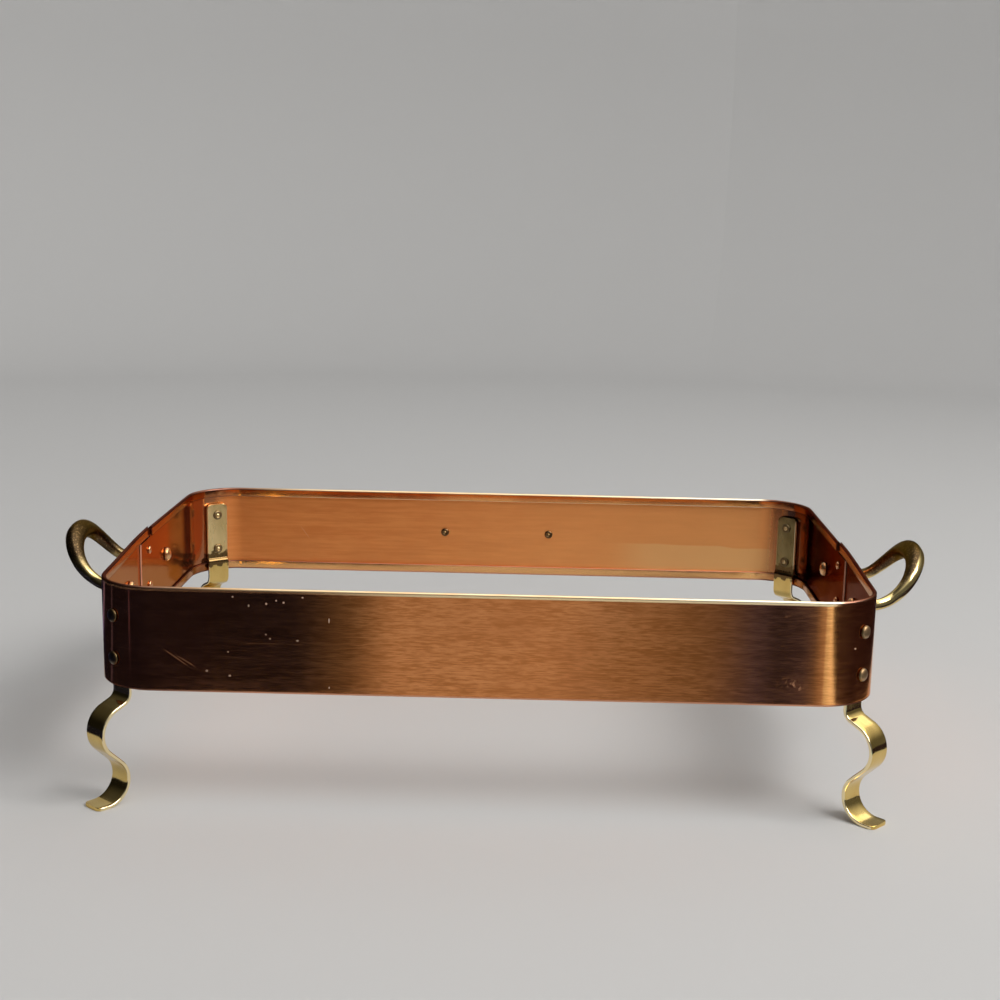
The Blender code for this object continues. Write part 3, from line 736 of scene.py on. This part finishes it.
def hem_profile():
    """Section of the band as (depth from the outer face, height) and each stretch's finish."""
    radius = HEM_THICKNESS / 2
    fold = arc((radius, BAND_HEIGHT - radius), radius, pi, 0, FOLD_STEPS)
    nose = SHEET / 2
    edge = arc((HEM_THICKNESS - nose, BAND_HEIGHT - LIP_HEIGHT + nose), nose, 0, -pi, FOLD_STEPS)
    hollow = arc((radius, BAND_HEIGHT - radius), HEM_GAP / 2, 0, pi, SMALL_STEPS)
    upper = fold + edge + hollow
    finishes = [HEM] * (len(upper) - 1)
    finishes[FOLD_STEPS] = LIP
    low, high = HEM_THICKNESS, BAND_HEIGHT - HEM_THICKNESS
    rows = [low + (high - low) * i / WALL_ROWS for i in range(WALL_ROWS + 1)]
    inner = [(SHEET, height) for height in reversed(rows)]
    outer = [(0.0, height) for height in rows]
    lower = [(depth, BAND_HEIGHT - height) for depth, height in reversed(upper)]
    profile = upper + inner + lower + outer
    finishes += [INSIDE] * (len(inner) + 1) + list(reversed(finishes)) + [OUTSIDE] * (len(outer) + 1)
    return profile, finishes


def wave(point):
    """The sheet's slight waviness along its inward normal; none at the corners, where the legs sit."""
    corner = Vector((HALF_LENGTH - CORNER_RADIUS, BAND_WIDTH / 2 - CORNER_RADIUS))
    past = min(abs(point.x) - corner.x, abs(point.y) - corner.y)
    share = min(1.0, max(0.0, -past / (CORNER_RADIUS / 2)))
    return share * rough(point, WAVE_HEIGHT, WAVE_LENGTH)


def band_mesh(half):
    profile, finishes = hem_profile()
    route = band_route(half)
    rings = []
    for place, normal in zip(route, inward_normals(route)):
        ring = []
        for depth, height in profile:
            flat = place + normal * depth
            z = TABLE_TO_BAND + height
            shift = normal * wave(Vector((place.x, place.y, z)))
            ring.append((flat.x + shift.x, flat.y + shift.y, z))
        rings.append(ring)
    return mesh_from(half + "_band_look", skin(rings, finishes))


def lap_cutter(half):
    """What is trimmed off one half where it passes the other: its lips, and the tongue's edges."""
    form = bmesh.new()
    inner = HEM_THICKNESS + CUT_MARGIN
    past_sheet = SHEET + HEM_GAP / 2
    low, high = -CUT_MARGIN, BAND_HEIGHT + CUT_MARGIN
    for side in SIDES.values():
        if half == "front":
            face = LAP_X
            outline = [(inner, low), (inner, high), (past_sheet, high), (past_sheet, low)]
            reach = (FRONT_LIP_END, FRONT_LAP_REACH + CUT_MARGIN)
        else:
            face = REAR_LAP_X
            bottom, top = TONGUE_INSET, BAND_HEIGHT - TONGUE_INSET
            outline = [(inner, low), (inner, high), (-CUT_MARGIN, high), (-CUT_MARGIN, top),
                       (past_sheet, top), (past_sheet, bottom), (-CUT_MARGIN, bottom), (-CUT_MARGIN, low)]
            reach = (-REAR_LAP_REACH - CUT_MARGIN, REAR_LIP_END)
        ends = []
        for y in reach:
            ends.append([form.verts.new((side * (face - d), y, TABLE_TO_BAND + h)) for d, h in outline])
        for i in range(len(outline)):
            j = (i + 1) % len(outline)
            form.faces.new((ends[0][i], ends[0][j], ends[1][j], ends[1][i]))
        form.faces.new(ends[0])
        form.faces.new(ends[1])
    for face in form.faces:
        face.material_index = HEM
    return mesh_from(half + "_lap", form)


def trimmed(piece, cutter_mesh):
    """Cut a shape out of a piece and keep the result as its mesh."""
    cutter = add_object(cutter_mesh.name, cutter_mesh)
    step = piece.modifiers.new("lap", "BOOLEAN")
    step.operation = "DIFFERENCE"
    step.solver = "EXACT"
    step.object = cutter
    bpy.context.view_layer.update()
    shape = piece.evaluated_get(bpy.context.evaluated_depsgraph_get())
    piece.data = bpy.data.meshes.new_from_object(shape)
    piece.data.set_sharp_from_angle(angle=SHARP_ANGLE)
    piece.modifiers.clear()
    bpy.data.objects.remove(cutter)


def darken_ends(mesh):
    """Give the right end wall's inside its painted shade, and the hems of both end walls their darker finish.
    """
    middle_of_corner = HALF_LENGTH - CORNER_RADIUS * (1 - cos(pi / 4))
    for face in mesh.polygons:
        if face.material_index == INSIDE and face.center.x > middle_of_corner:
            face.material_index = SHADED_END_WALL
        elif face.material_index == HEM and abs(face.center.x) > HEM_END_START:
            face.material_index = HEM_END


def make_bands():
    finishes = [finish() for finish in (copper_outside, copper_hem, copper_inside, copper_lip, copper_cut,
                                        copper_hem_end, copper_end_wall_shaded)]
    for half in HALVES:
        piece = show(half + "_band", band_mesh(half), finishes)
        trimmed(piece, lap_cutter(half))
        darken_ends(piece.data)


def corner_frames(half):
    """Where the two legs of one half lie: point on the corner's outer face, and its direction."""
    frames = {}
    for centre, _, _ in corner_arcs(band_bends(half)):
        side = "left" if centre.x < 0 else "right"
        turn = LEG_TURNS[half + "_" + side]
        outward = Vector((copysign(cos(turn), centre.x), copysign(sin(turn), centre.y)))
        outer = centre + CORNER_RADIUS * outward
        frames[side] = (outer.to_3d(), atan2(outward.y, outward.x))
    return frames


def end_wall(half, side):
    """Outer point of an end wall at a handle's end, and the wall's outward direction."""
    y = HANDLE_PITCH / 2 * HALVES[half]
    bends = [p for p in band_bends(half) if p.x * side > 0 and p.y * y > 0]
    knee, corner = sorted(bends, key=lambda p: abs(p.y))
    share = (y - knee.y) / (corner.y - knee.y)
    x = knee.x + (corner.x - knee.x) * share
    along = (corner - knee).normalized()
    outward = Vector((along.y, -along.x, 0))
    outward *= 1 if outward.x * side > 0 else -1
    return Vector((x, y, TABLE_TO_BAND + HANDLE_HEIGHT)), outward


# Legs


def chord_depth(depth):
    """How deep a flat strap lies in the round corner, to clear a face at this depth."""
    radius = CORNER_RADIUS - depth
    return CORNER_RADIUS - sqrt(radius ** 2 - (STRAP_WIDTH / 2) ** 2) + CLEARANCE


def strap_depths():
    """Depth of the strap's middle against the sheet, and where it passes the lower lip."""
    half = STRAP_THICKNESS / 2
    return chord_depth(SHEET) + half, chord_depth(HEM_THICKNESS) + half


class Trace:
    """A bent line in the leg's plane: (outward, height, direction) at each station."""

    def __init__(self, outward, height, heading):
        self.at = Vector((outward, height))
        self.heading = heading
        self.stations = [(self.at.copy(), heading)]

    def run(self, length):
        steps = max(1, ceil(length / RUN_STEP))
        for _ in range(steps):
            self.at += length / steps * Vector((cos(self.heading), sin(self.heading)))
            self.stations.append((self.at.copy(), self.heading))

    def turn(self, radius, angle):
        steps = max(SMALL_STEPS, ceil(abs(angle) / BEND_STEP))
        part = angle / steps
        chord = 2 * radius * sin(abs(part) / 2)
        for _ in range(steps):
            middle = self.heading + part / 2
            self.at += chord * Vector((cos(middle), sin(middle)))
            self.heading += part
            self.stations.append((self.at.copy(), self.heading))


def leg_trace():
    """Middle of the strap from below its rounded top end to the tip of its foot."""
    upper, lower = strap_depths()
    slant = (lower - upper - 2 * JOGGLE_RADIUS * (1 - cos(JOGGLE_ANGLE))) / sin(JOGGLE_ANGLE)
    joggle_drop = 2 * JOGGLE_RADIUS * sin(JOGGLE_ANGLE) + slant * cos(JOGGLE_ANGLE)
    joggle_end = LIP_HEIGHT + CLEARANCE
    trace = Trace(-upper, TABLE_TO_BAND + STRAP_TOP - STRAP_TOP_ROUNDING, -pi / 2)
    trace.run(STRAP_TOP - STRAP_TOP_ROUNDING - joggle_end - joggle_drop)
    trace.turn(JOGGLE_RADIUS, -JOGGLE_ANGLE)
    trace.run(slant)
    trace.turn(JOGGLE_RADIUS, JOGGLE_ANGLE)
    trace.run(joggle_end + LEG_DROP)
    trace.turn(HIP_RADIUS, HIP_TURN)
    trace.run(HIP_RUN)
    trace.turn(KNEE_RADIUS, -KNEE_TURN)
    last_turn = -trace.heading
    ankle_drop = ANKLE_RADIUS * (1 - cos(last_turn))
    trace.run((trace.at.y - ankle_drop - STRAP_THICKNESS / 2) / sin(last_turn))
    trace.turn(ANKLE_RADIUS, last_turn)
    trace.run(FOOT_RUN - FOOT_ROUNDING)
    return trace.stations


def rounded_end(station, outward, radius):
    """Stations beyond one end of the strap, narrowing to a rounded tip."""
    at, heading = station
    way = outward * Vector((cos(heading), sin(heading)))
    result = []
    for i in range(1, END_STEPS + 1):
        angle = pi / 2 * i / END_STEPS
        narrowing = radius * (1 - cos(angle))
        result.append((at + way * radius * sin(angle), heading, STRAP_WIDTH / 2 - narrowing))
    return result


def strap_section(half):
    """Section of the strap with rounded edges: (across, depth)."""
    x, y = half - STRAP_EDGE, STRAP_THICKNESS / 2 - STRAP_EDGE
    corners = [((x, -y), -pi / 2), ((x, y), 0), ((-x, y), pi / 2), ((-x, -y), pi)]
    points = []
    for k, (centre, start) in enumerate(corners):
        points += arc(centre, STRAP_EDGE, start, start + pi / 2, SMALL_STEPS)
        if k in (1, 3):
            sign = 1 if k == 1 else -1
            points += [(sign * x * share, sign * STRAP_THICKNESS / 2) for share in FACE_SHARES]
    return points


def leg_mesh(seed):
    rings = []
    stations = [(at, heading, STRAP_WIDTH / 2) for at, heading in leg_trace()]
    top = rounded_end(stations[0][:2], -1, STRAP_TOP_ROUNDING)
    tip = rounded_end(stations[-1][:2], 1, FOOT_ROUNDING)
    for at, heading, half in [*reversed(top), *stations, *tip]:
        normal = Vector((-sin(heading), cos(heading)))
        ring = []
        for across, depth in strap_section(half):
            point = at + normal * depth
            solid = Vector((point.x, across, point.y))
            dent = rough((point.x, across, point.y), DENT_HEIGHT, DENT_LENGTH, seed)
            ring.append(solid + Vector((normal.x, 0, normal.y)) * dent)
        rings.append(ring)
    return mesh_from("leg_look", skin(rings))


# Rivets


def dome(size, face, flatness=HEAD_FLATNESS):
    """A low head: from its middle to its rim, above a face."""
    radius = size / 2
    rim = RIM_FLATNESS * size
    rise = flatness * size - rim
    outline = [(face + rim + rise, 0.0)]
    for i in range(1, DOME_STEPS + 1):
        angle = pi / 2 * i / DOME_STEPS
        outline.append((face + rim + rise * cos(angle), radius * sin(angle)))
    return outline + [(face + rim / 2, radius + rim / 8), (face, radius - rim / 4)]


def rolled_tail(size, face):
    """The ring and dish of a rolled tail, from its rim to its middle."""
    ring = size / 2 - TAIL_RING
    bend = arc((face, ring), TAIL_RING, pi / 2, 3 * pi / 2, RING_STEPS)
    dish = face - TAIL_DISH
    radius = ring - TAIL_RING
    middle = [(dish - TAIL_RING * sin(angle), radius * cos(angle))
              for angle in (pi / 2 * i / DOME_STEPS for i in range(DOME_STEPS))]
    return bend[:-1] + middle + [(dish - TAIL_RING, 0.0)]


def lathe(outline, seed):
    """Turn an outline of (along the axis, radius) from tip to tip, a little hammered."""
    form = bmesh.new()
    rows = []
    for along, radius in outline:
        count = RIVET_STEPS if radius else 1
        row = []
        for i in range(count):
            angle = 2 * pi * i / RIVET_STEPS
            point = Vector((along, radius * cos(angle), radius * sin(angle)))
            knock = rough(point, HAMMER_HEIGHT, HAMMER_LENGTH, seed)
            row.append(form.verts.new(point * (1 + knock / max(radius, HAMMER_LENGTH))))
        rows.append(row)
    for row, following in zip(rows, rows[1:]):
        for i in range(RIVET_STEPS):
            j = (i + 1) % RIVET_STEPS
            corners = [row[i % len(row)], row[j % len(row)],
                       following[j % len(following)], following[i % len(following)]]
            form.faces.new(list(dict.fromkeys(corners)))
    return form


def rivet_mesh(name, sizes, grip, seed, rolled=True, flatness=HEAD_FLATNESS):
    """A rivet through a grip, with a rolled ring, a second dome or a bare end behind it."""
    head, shank, tail = sizes
    outline = dome(head, CLEARANCE, flatness) + [(CLEARANCE, shank / 2)]
    face = -grip - CLEARANCE
    if not tail:
        outline += [(-grip, shank / 2), (-grip, 0.0)]
    elif rolled:
        outline += [(face, shank / 2)] + rolled_tail(tail, face)
    else:
        outline += [(face, shank / 2)]
        outline += [(2 * face - along, radius) for along, radius in reversed(dome(tail, face))]
    return mesh_from(name, lathe(outline, seed))


def stand_at(place, turn):
    return Matrix.Translation(place) @ Matrix.Rotation(turn, 4, "Z")


def make_legs():
    middle = strap_depths()[0]
    pale = leg_brass("leg_brass_look", (0.92, 0.72, 0.36), (0.76, 0.58, 0.26))
    # A darker copy in painted shade for the rear right strap, which faces away from the light.
    brown = leg_brass("leg_brass_shaded_look", (0.34, 0.27, 0.12), (0.2, 0.15, 0.06))
    # The second rivet finish is a darker copy in painted shade, for the front left leg's rivets that face
    # away from the light.
    heads = {"leg_rivet_look": (0.36, (0.47, 0.3, 0.16)), "leg_rivet_shaded_look": (0.3, (0.13, 0.1, 0.07))}
    rivet, shaded_rivet = (rivet_metal(name, (0.95, 0.78, 0.45), (0.15, 0.1, 0.045), roughness,
                                     rim=0.003, ring=(0.001, 0.0013), head=head)
                         for name, (roughness, head) in heads.items())
    seed = 0
    for half in HALVES:
        for side, (outer, angle) in corner_frames(half).items():
            seed += 1
            name = half + "_" + side
            # Painted shade: the rear right strap takes the darker copy.
            brass = brown if name == "rear_right" else pale
            # Painted shade: the front left leg's rivets take the darker copy.
            metal = shaded_rivet if name == "front_left" else rivet
            show("leg_" + name, leg_mesh(seed), [brass], stand_at(outer, angle))
            for level, height in LEG_RIVET_HEIGHTS.items():
                mesh = rivet_mesh("leg_rivet", LEG_RIVET, middle + STRAP_THICKNESS / 2, seed + height)
                at = outer + Vector((0, 0, TABLE_TO_BAND + height))
                show(f"leg_rivet_{name}_{level}", mesh, [metal], stand_at(at, angle))


def make_lap_rivets():
    copper = rivet_metal("lap_rivet_look", (0.84, 0.44, 0.22), (0.36, 0.15, 0.07), 0.24, rim=0.0023)
    for side, sign in SIDES.items():
        for level, height in LAP_RIVET_HEIGHTS.items():
            mesh = rivet_mesh("lap_rivet", LAP_RIVET, 2 * SHEET + CLEARANCE, height * sign, rolled=False)
            at = (sign * LAP_X, LAP_RIVET_OFFSET, TABLE_TO_BAND + height)
            turn = 0 if sign > 0 else pi
            show(f"lap_rivet_{side}_{level}", mesh, [copper], stand_at(at, turn))


def make_rear_wall_rivets():
    brass = rivet_metal("rear_wall_rivet_look", (0.7, 0.48, 0.22), (0.1, 0.06, 0.03), 0.24,
                        rim=0.0025, ring=(0.0007, 0.001))
    for side, sign in SIDES.items():
        mesh = rivet_mesh("rear_wall_rivet", REAR_RIVET, SHEET, sign)
        at = (sign * REAR_RIVET_SPACING / 2, BAND_WIDTH / 2, TABLE_TO_BAND + REAR_RIVET_HEIGHT)
        show("rear_wall_rivet_" + side, mesh, [brass], stand_at(at, pi / 2))


# Handles


def bezier(points, steps):
    """Points on a cubic curve, the last one left out."""
    a, b, c, d = points
    result = []
    for i in range(steps):
        t = i / steps
        u = 1 - t
        result.append(a * u ** 3 + b * 3 * u * u * t + c * 3 * u * t * t + d * t ** 3)
    return result


def handle_route(side, shift):
    """Middle of the handle, from its front end to its rear end."""
    level = TABLE_TO_BAND + HANDLE_HEIGHT
    bow = Vector((side * (LAP_X + HANDLE_REACH), shift, level + HANDLE_RISE))
    route = []
    for half, sign in HALVES.items():
        wall, outward = end_wall(half, side)
        root = wall + outward * CLEARANCE
        neck_y = (sign * NECK_SPREAD + shift) / 2
        neck = Vector((side * (LAP_X + NECK_REACH), neck_y, level + NECK_RISE))
        way = Vector((side, -sign * tan(NECK_TAPER), tan(NECK_SLOPE))).normalized()
        lower = bezier((root, root + outward * HANDLE_ROOT_RUN, neck - way * NECK_PULL_IN, neck), NECK_STEPS)
        pull = Vector((0, sign * BOW_PULL, 0))
        upper = bezier((neck, neck + way * NECK_PULL_OUT, bow + pull, bow), BOW_STEPS)
        branch = lower + upper
        route += branch + [bow] if sign < 0 else list(reversed(branch))
    return route


def ease(share):
    """A smooth step from 0 to 1."""
    share = min(1.0, max(0.0, share))
    return share * share * (3 - 2 * share)


def handle_sizes(distance, half_length):
    """Width and thickness of the handle at a distance from its nearer end."""
    swell = ease((distance - ROOT_LENGTH) / (half_length - ROOT_LENGTH))
    foot = (HANDLE_FOOT - ROOT_SIZE) * (1 - ease(distance / HANDLE_FOOT_LENGTH))
    width = ROOT_SIZE + (BOW_WIDTH - ROOT_SIZE) * swell + foot
    thickness = ROOT_SIZE + (BOW_THICKNESS - ROOT_SIZE) * swell + foot
    return width, thickness


def superellipse(width, thickness):
    """Section of the handle, fuller than an oval."""
    points = []
    for i in range(SECTION_POINTS):
        angle = 2 * pi * (i + 0.5) / SECTION_POINTS
        c, s = cos(angle), sin(angle)
        a = copysign(width / 2 * abs(c) ** (2 / SECTION_POWER), c)
        b = copysign(thickness / 2 * abs(s) ** (2 / SECTION_POWER), s)
        points.append((a, b))
    return points


def handle_mesh(side_name, side):
    route = handle_route(side, BOW_SHIFTS[side_name])
    walls = [end_wall("front", side)[1], end_wall("rear", side)[1]]
    lengths = distances(route)
    total = lengths[-1]
    lean = Vector((-side * sin(HANDLE_TILT), 0, cos(HANDLE_TILT)))
    rings = []
    for i, point in enumerate(route):
        if i == 0:
            way = walls[0]
        elif i == len(route) - 1:
            way = -walls[1]
        else:
            way = (route[i + 1] - route[i - 1]).normalized()
        up = (lean - way * lean.dot(way)).normalized()
        across = way.cross(up)
        width, thickness = handle_sizes(min(lengths[i], total - lengths[i]), total / 2)
        held = min(1.0, min(lengths[i], total - lengths[i]) / HANDLE_FOOT)
        ring = []
        for a, b in superellipse(width, thickness):
            outward = across * a + up * b
            lump = held * rough(point + outward, CAST_HEIGHT, CAST_LENGTH, side)
            ring.append(point + outward * (1 + lump / outward.length))
        rings.append(ring)
    return mesh_from("handle_look", skin(rings))


def make_handles():
    brass = handle_brass()
    copper = rivet_metal("handle_rivet_look", (0.92, 0.54, 0.26), (0.4, 0.17, 0.07), 0.24, rim=0.0038)
    for side_name, side in SIDES.items():
        show("handle_" + side_name, handle_mesh(side_name, side), [brass])
        for half in HALVES:
            wall, outward = end_wall(half, side)
            grip = SHEET + CLEARANCE + HANDLE_RIVET_DEPTH
            mesh = rivet_mesh("handle_rivet", HANDLE_RIVET, grip, side, flatness=HANDLE_HEAD_FLATNESS)
            turn = atan2(-outward.y, -outward.x)
            matrix = stand_at(wall - outward * SHEET, turn)
            show(f"handle_rivet_{side_name}_{half}", mesh, [copper], matrix)


# Stage, light and camera


def plain(name, colour):
    """A matt finish without any gloss."""
    finish = Finish(name, colour, MATT, metallic=0.0)
    finish.set("Specular IOR Level", 0.0)
    return finish


def glowing(name, glow):
    """A black finish that shines by itself."""
    finish = plain(name, (0.0, 0.0, 0.0))
    finish.set("Emission Color", glow)
    finish.set("Emission Strength", 1.0)
    return finish


def cove(name, first, last, whole_floor, finish):
    """Part of a round backdrop that curves up from the floor, between two angles seen from above."""
    outline = [(FLOOR_RADIUS, 0.0)]
    outline += arc((FLOOR_RADIUS, COVE_BEND), COVE_BEND, -pi / 2, 0, COVE_BEND_STEPS)[1:]
    outline.append((FLOOR_RADIUS + COVE_BEND, COVE_HEIGHT))
    form = bmesh.new()
    steps = max(1, round((last - first) / COVE_STEP))
    rows = []
    for i in range(steps + 1):
        angle = first + (last - first) * i / steps
        rows.append([form.verts.new((r * cos(angle), r * sin(angle), z)) for r, z in outline])
    for a, b in zip(rows, rows[1:]):
        for k in range(len(outline) - 1):
            form.faces.new((a[k], a[k + 1], b[k + 1], b[k]))
    if whole_floor:
        count = round(2 * pi / COVE_STEP)
        angles = [2 * pi * i / count for i in range(count)]
        form.faces.new([form.verts.new((FLOOR_RADIUS * cos(a), FLOOR_RADIUS * sin(a), 0.0)) for a in angles])
    mesh = bare_mesh(name, form)
    mesh.shade_smooth()
    mesh.materials.append(finish.material)
    piece = add_object(name, mesh)
    return piece


def make_stage():
    """A pale floor that sweeps up all round; only its rear part shows in reflections."""
    first, last = COVE_MIRRORED
    grey = plain("floor_grey", FLOOR_GREY)
    cove("floor", first, last, True, grey)
    cove("surround", last, first + 2 * pi, False, grey).visible_glossy = False


def reflection_only(name, form, finish):
    mesh = bare_mesh(name, form)
    mesh.materials.append(finish.material)
    sheet = add_object(name, mesh)
    sheet.visible_camera = False
    sheet.visible_shadow = False
    sheet.visible_diffuse = False


def flat_sheet(outline, height):
    form = bmesh.new()
    form.faces.new([form.verts.new((x, y, height)) for x, y in outline])
    return form


def make_mirrored_room():
    """The dark and pale parts of the room before the stand, as the walls mirror them: painted reflections on
    sheets that only reflections show, the pale ones glowing.
    """
    form = bmesh.new()
    tones = form.verts.layers.float_color.new("tone")
    columns = []
    for slope, tone in MIRROR_TONES:
        tint = DARK_TONE if tone < DARK_BELOW else WHITE_TONE if tone > WHITE_ABOVE else (1.0, 1.0, 1.0)
        column = []
        for y in (MIRROR_NEAR, MIRROR_FAR):
            vert = form.verts.new((MIRRORED_EYE[0] + slope * (MIRRORED_EYE[1] - y), y, SHEET_LIFT))
            vert[tones] = (*(tone * part for part in tint), 1.0)
            column.append(vert)
        columns.append(column)
    for a, b in zip(columns, columns[1:]):
        form.faces.new((a[0], a[1], b[1], b[0]))
    reflection_paint = glowing("painted_room_reflection", (0.0, 0.0, 0.0))
    reflection_paint.set("Emission Color", reflection_paint.add("ShaderNodeVertexColor", layer_name="tone").outputs["Color"])
    reflection_only("room", form, reflection_paint)
    for name, (outline, colour) in DARK_SHEETS.items():
        reflection_only(name, flat_sheet(outline, 2 * SHEET_LIFT), plain(name, colour))
    for name, (outline, colour) in GLINTS.items():
        reflection_only(name, flat_sheet(outline, 3 * SHEET_LIFT), glowing(name, colour))


def make_world():
    """A bright ceiling, a little brighter on the right, over a dim horizon."""
    world = bpy.data.worlds.new("studio")
    graph = Graph(world)
    way = graph.add("ShaderNodeTexCoord").outputs["Generated"]
    up, across = (graph.band(graph.part(axis, way), *limits) for axis, limits in WORLD_RAMPS.items())
    background = graph.nodes["Background"]
    graph.feed(background.inputs["Strength"], up * across)
    graph.feed(background.inputs["Color"], WORLD_COLOUR)
    bpy.context.scene.world = world


def make_lights():
    for name, (place, target, size, power, colour) in LAMPS.items():
        lamp = bpy.data.lights.new(name, "AREA")
        lamp.shape = "RECTANGLE"
        lamp.size, lamp.size_y = size
        lamp.energy = power
        lamp.color = colour
        light = add_object(name, lamp)
        light.location = place
        light.rotation_euler = (Vector(target) - Vector(place)).to_track_quat("-Z", "Y").to_euler()
        light.visible_camera = False
        light.visible_diffuse = name != "ceiling"


def make_camera():
    data = bpy.data.cameras.new("camera")
    data.lens = LENS
    data.sensor_width = SENSOR
    camera = add_object("camera", data)
    tilt = Matrix.Rotation(pi / 2 - CAMERA_PITCH, 4, "X") @ Matrix.Rotation(CAMERA_ROLL, 4, "Z")
    camera.matrix_world = stand_at(CAMERA_PLACE, CAMERA_YAW) @ tilt
    bpy.context.scene.camera = camera


bpy.context.scene.view_settings.view_transform = "Standard"
make_camera()
make_bands()
make_legs()
make_lap_rivets()
make_rear_wall_rivets()
make_handles()
make_stage()
make_mirrored_room()
make_world()
make_lights()
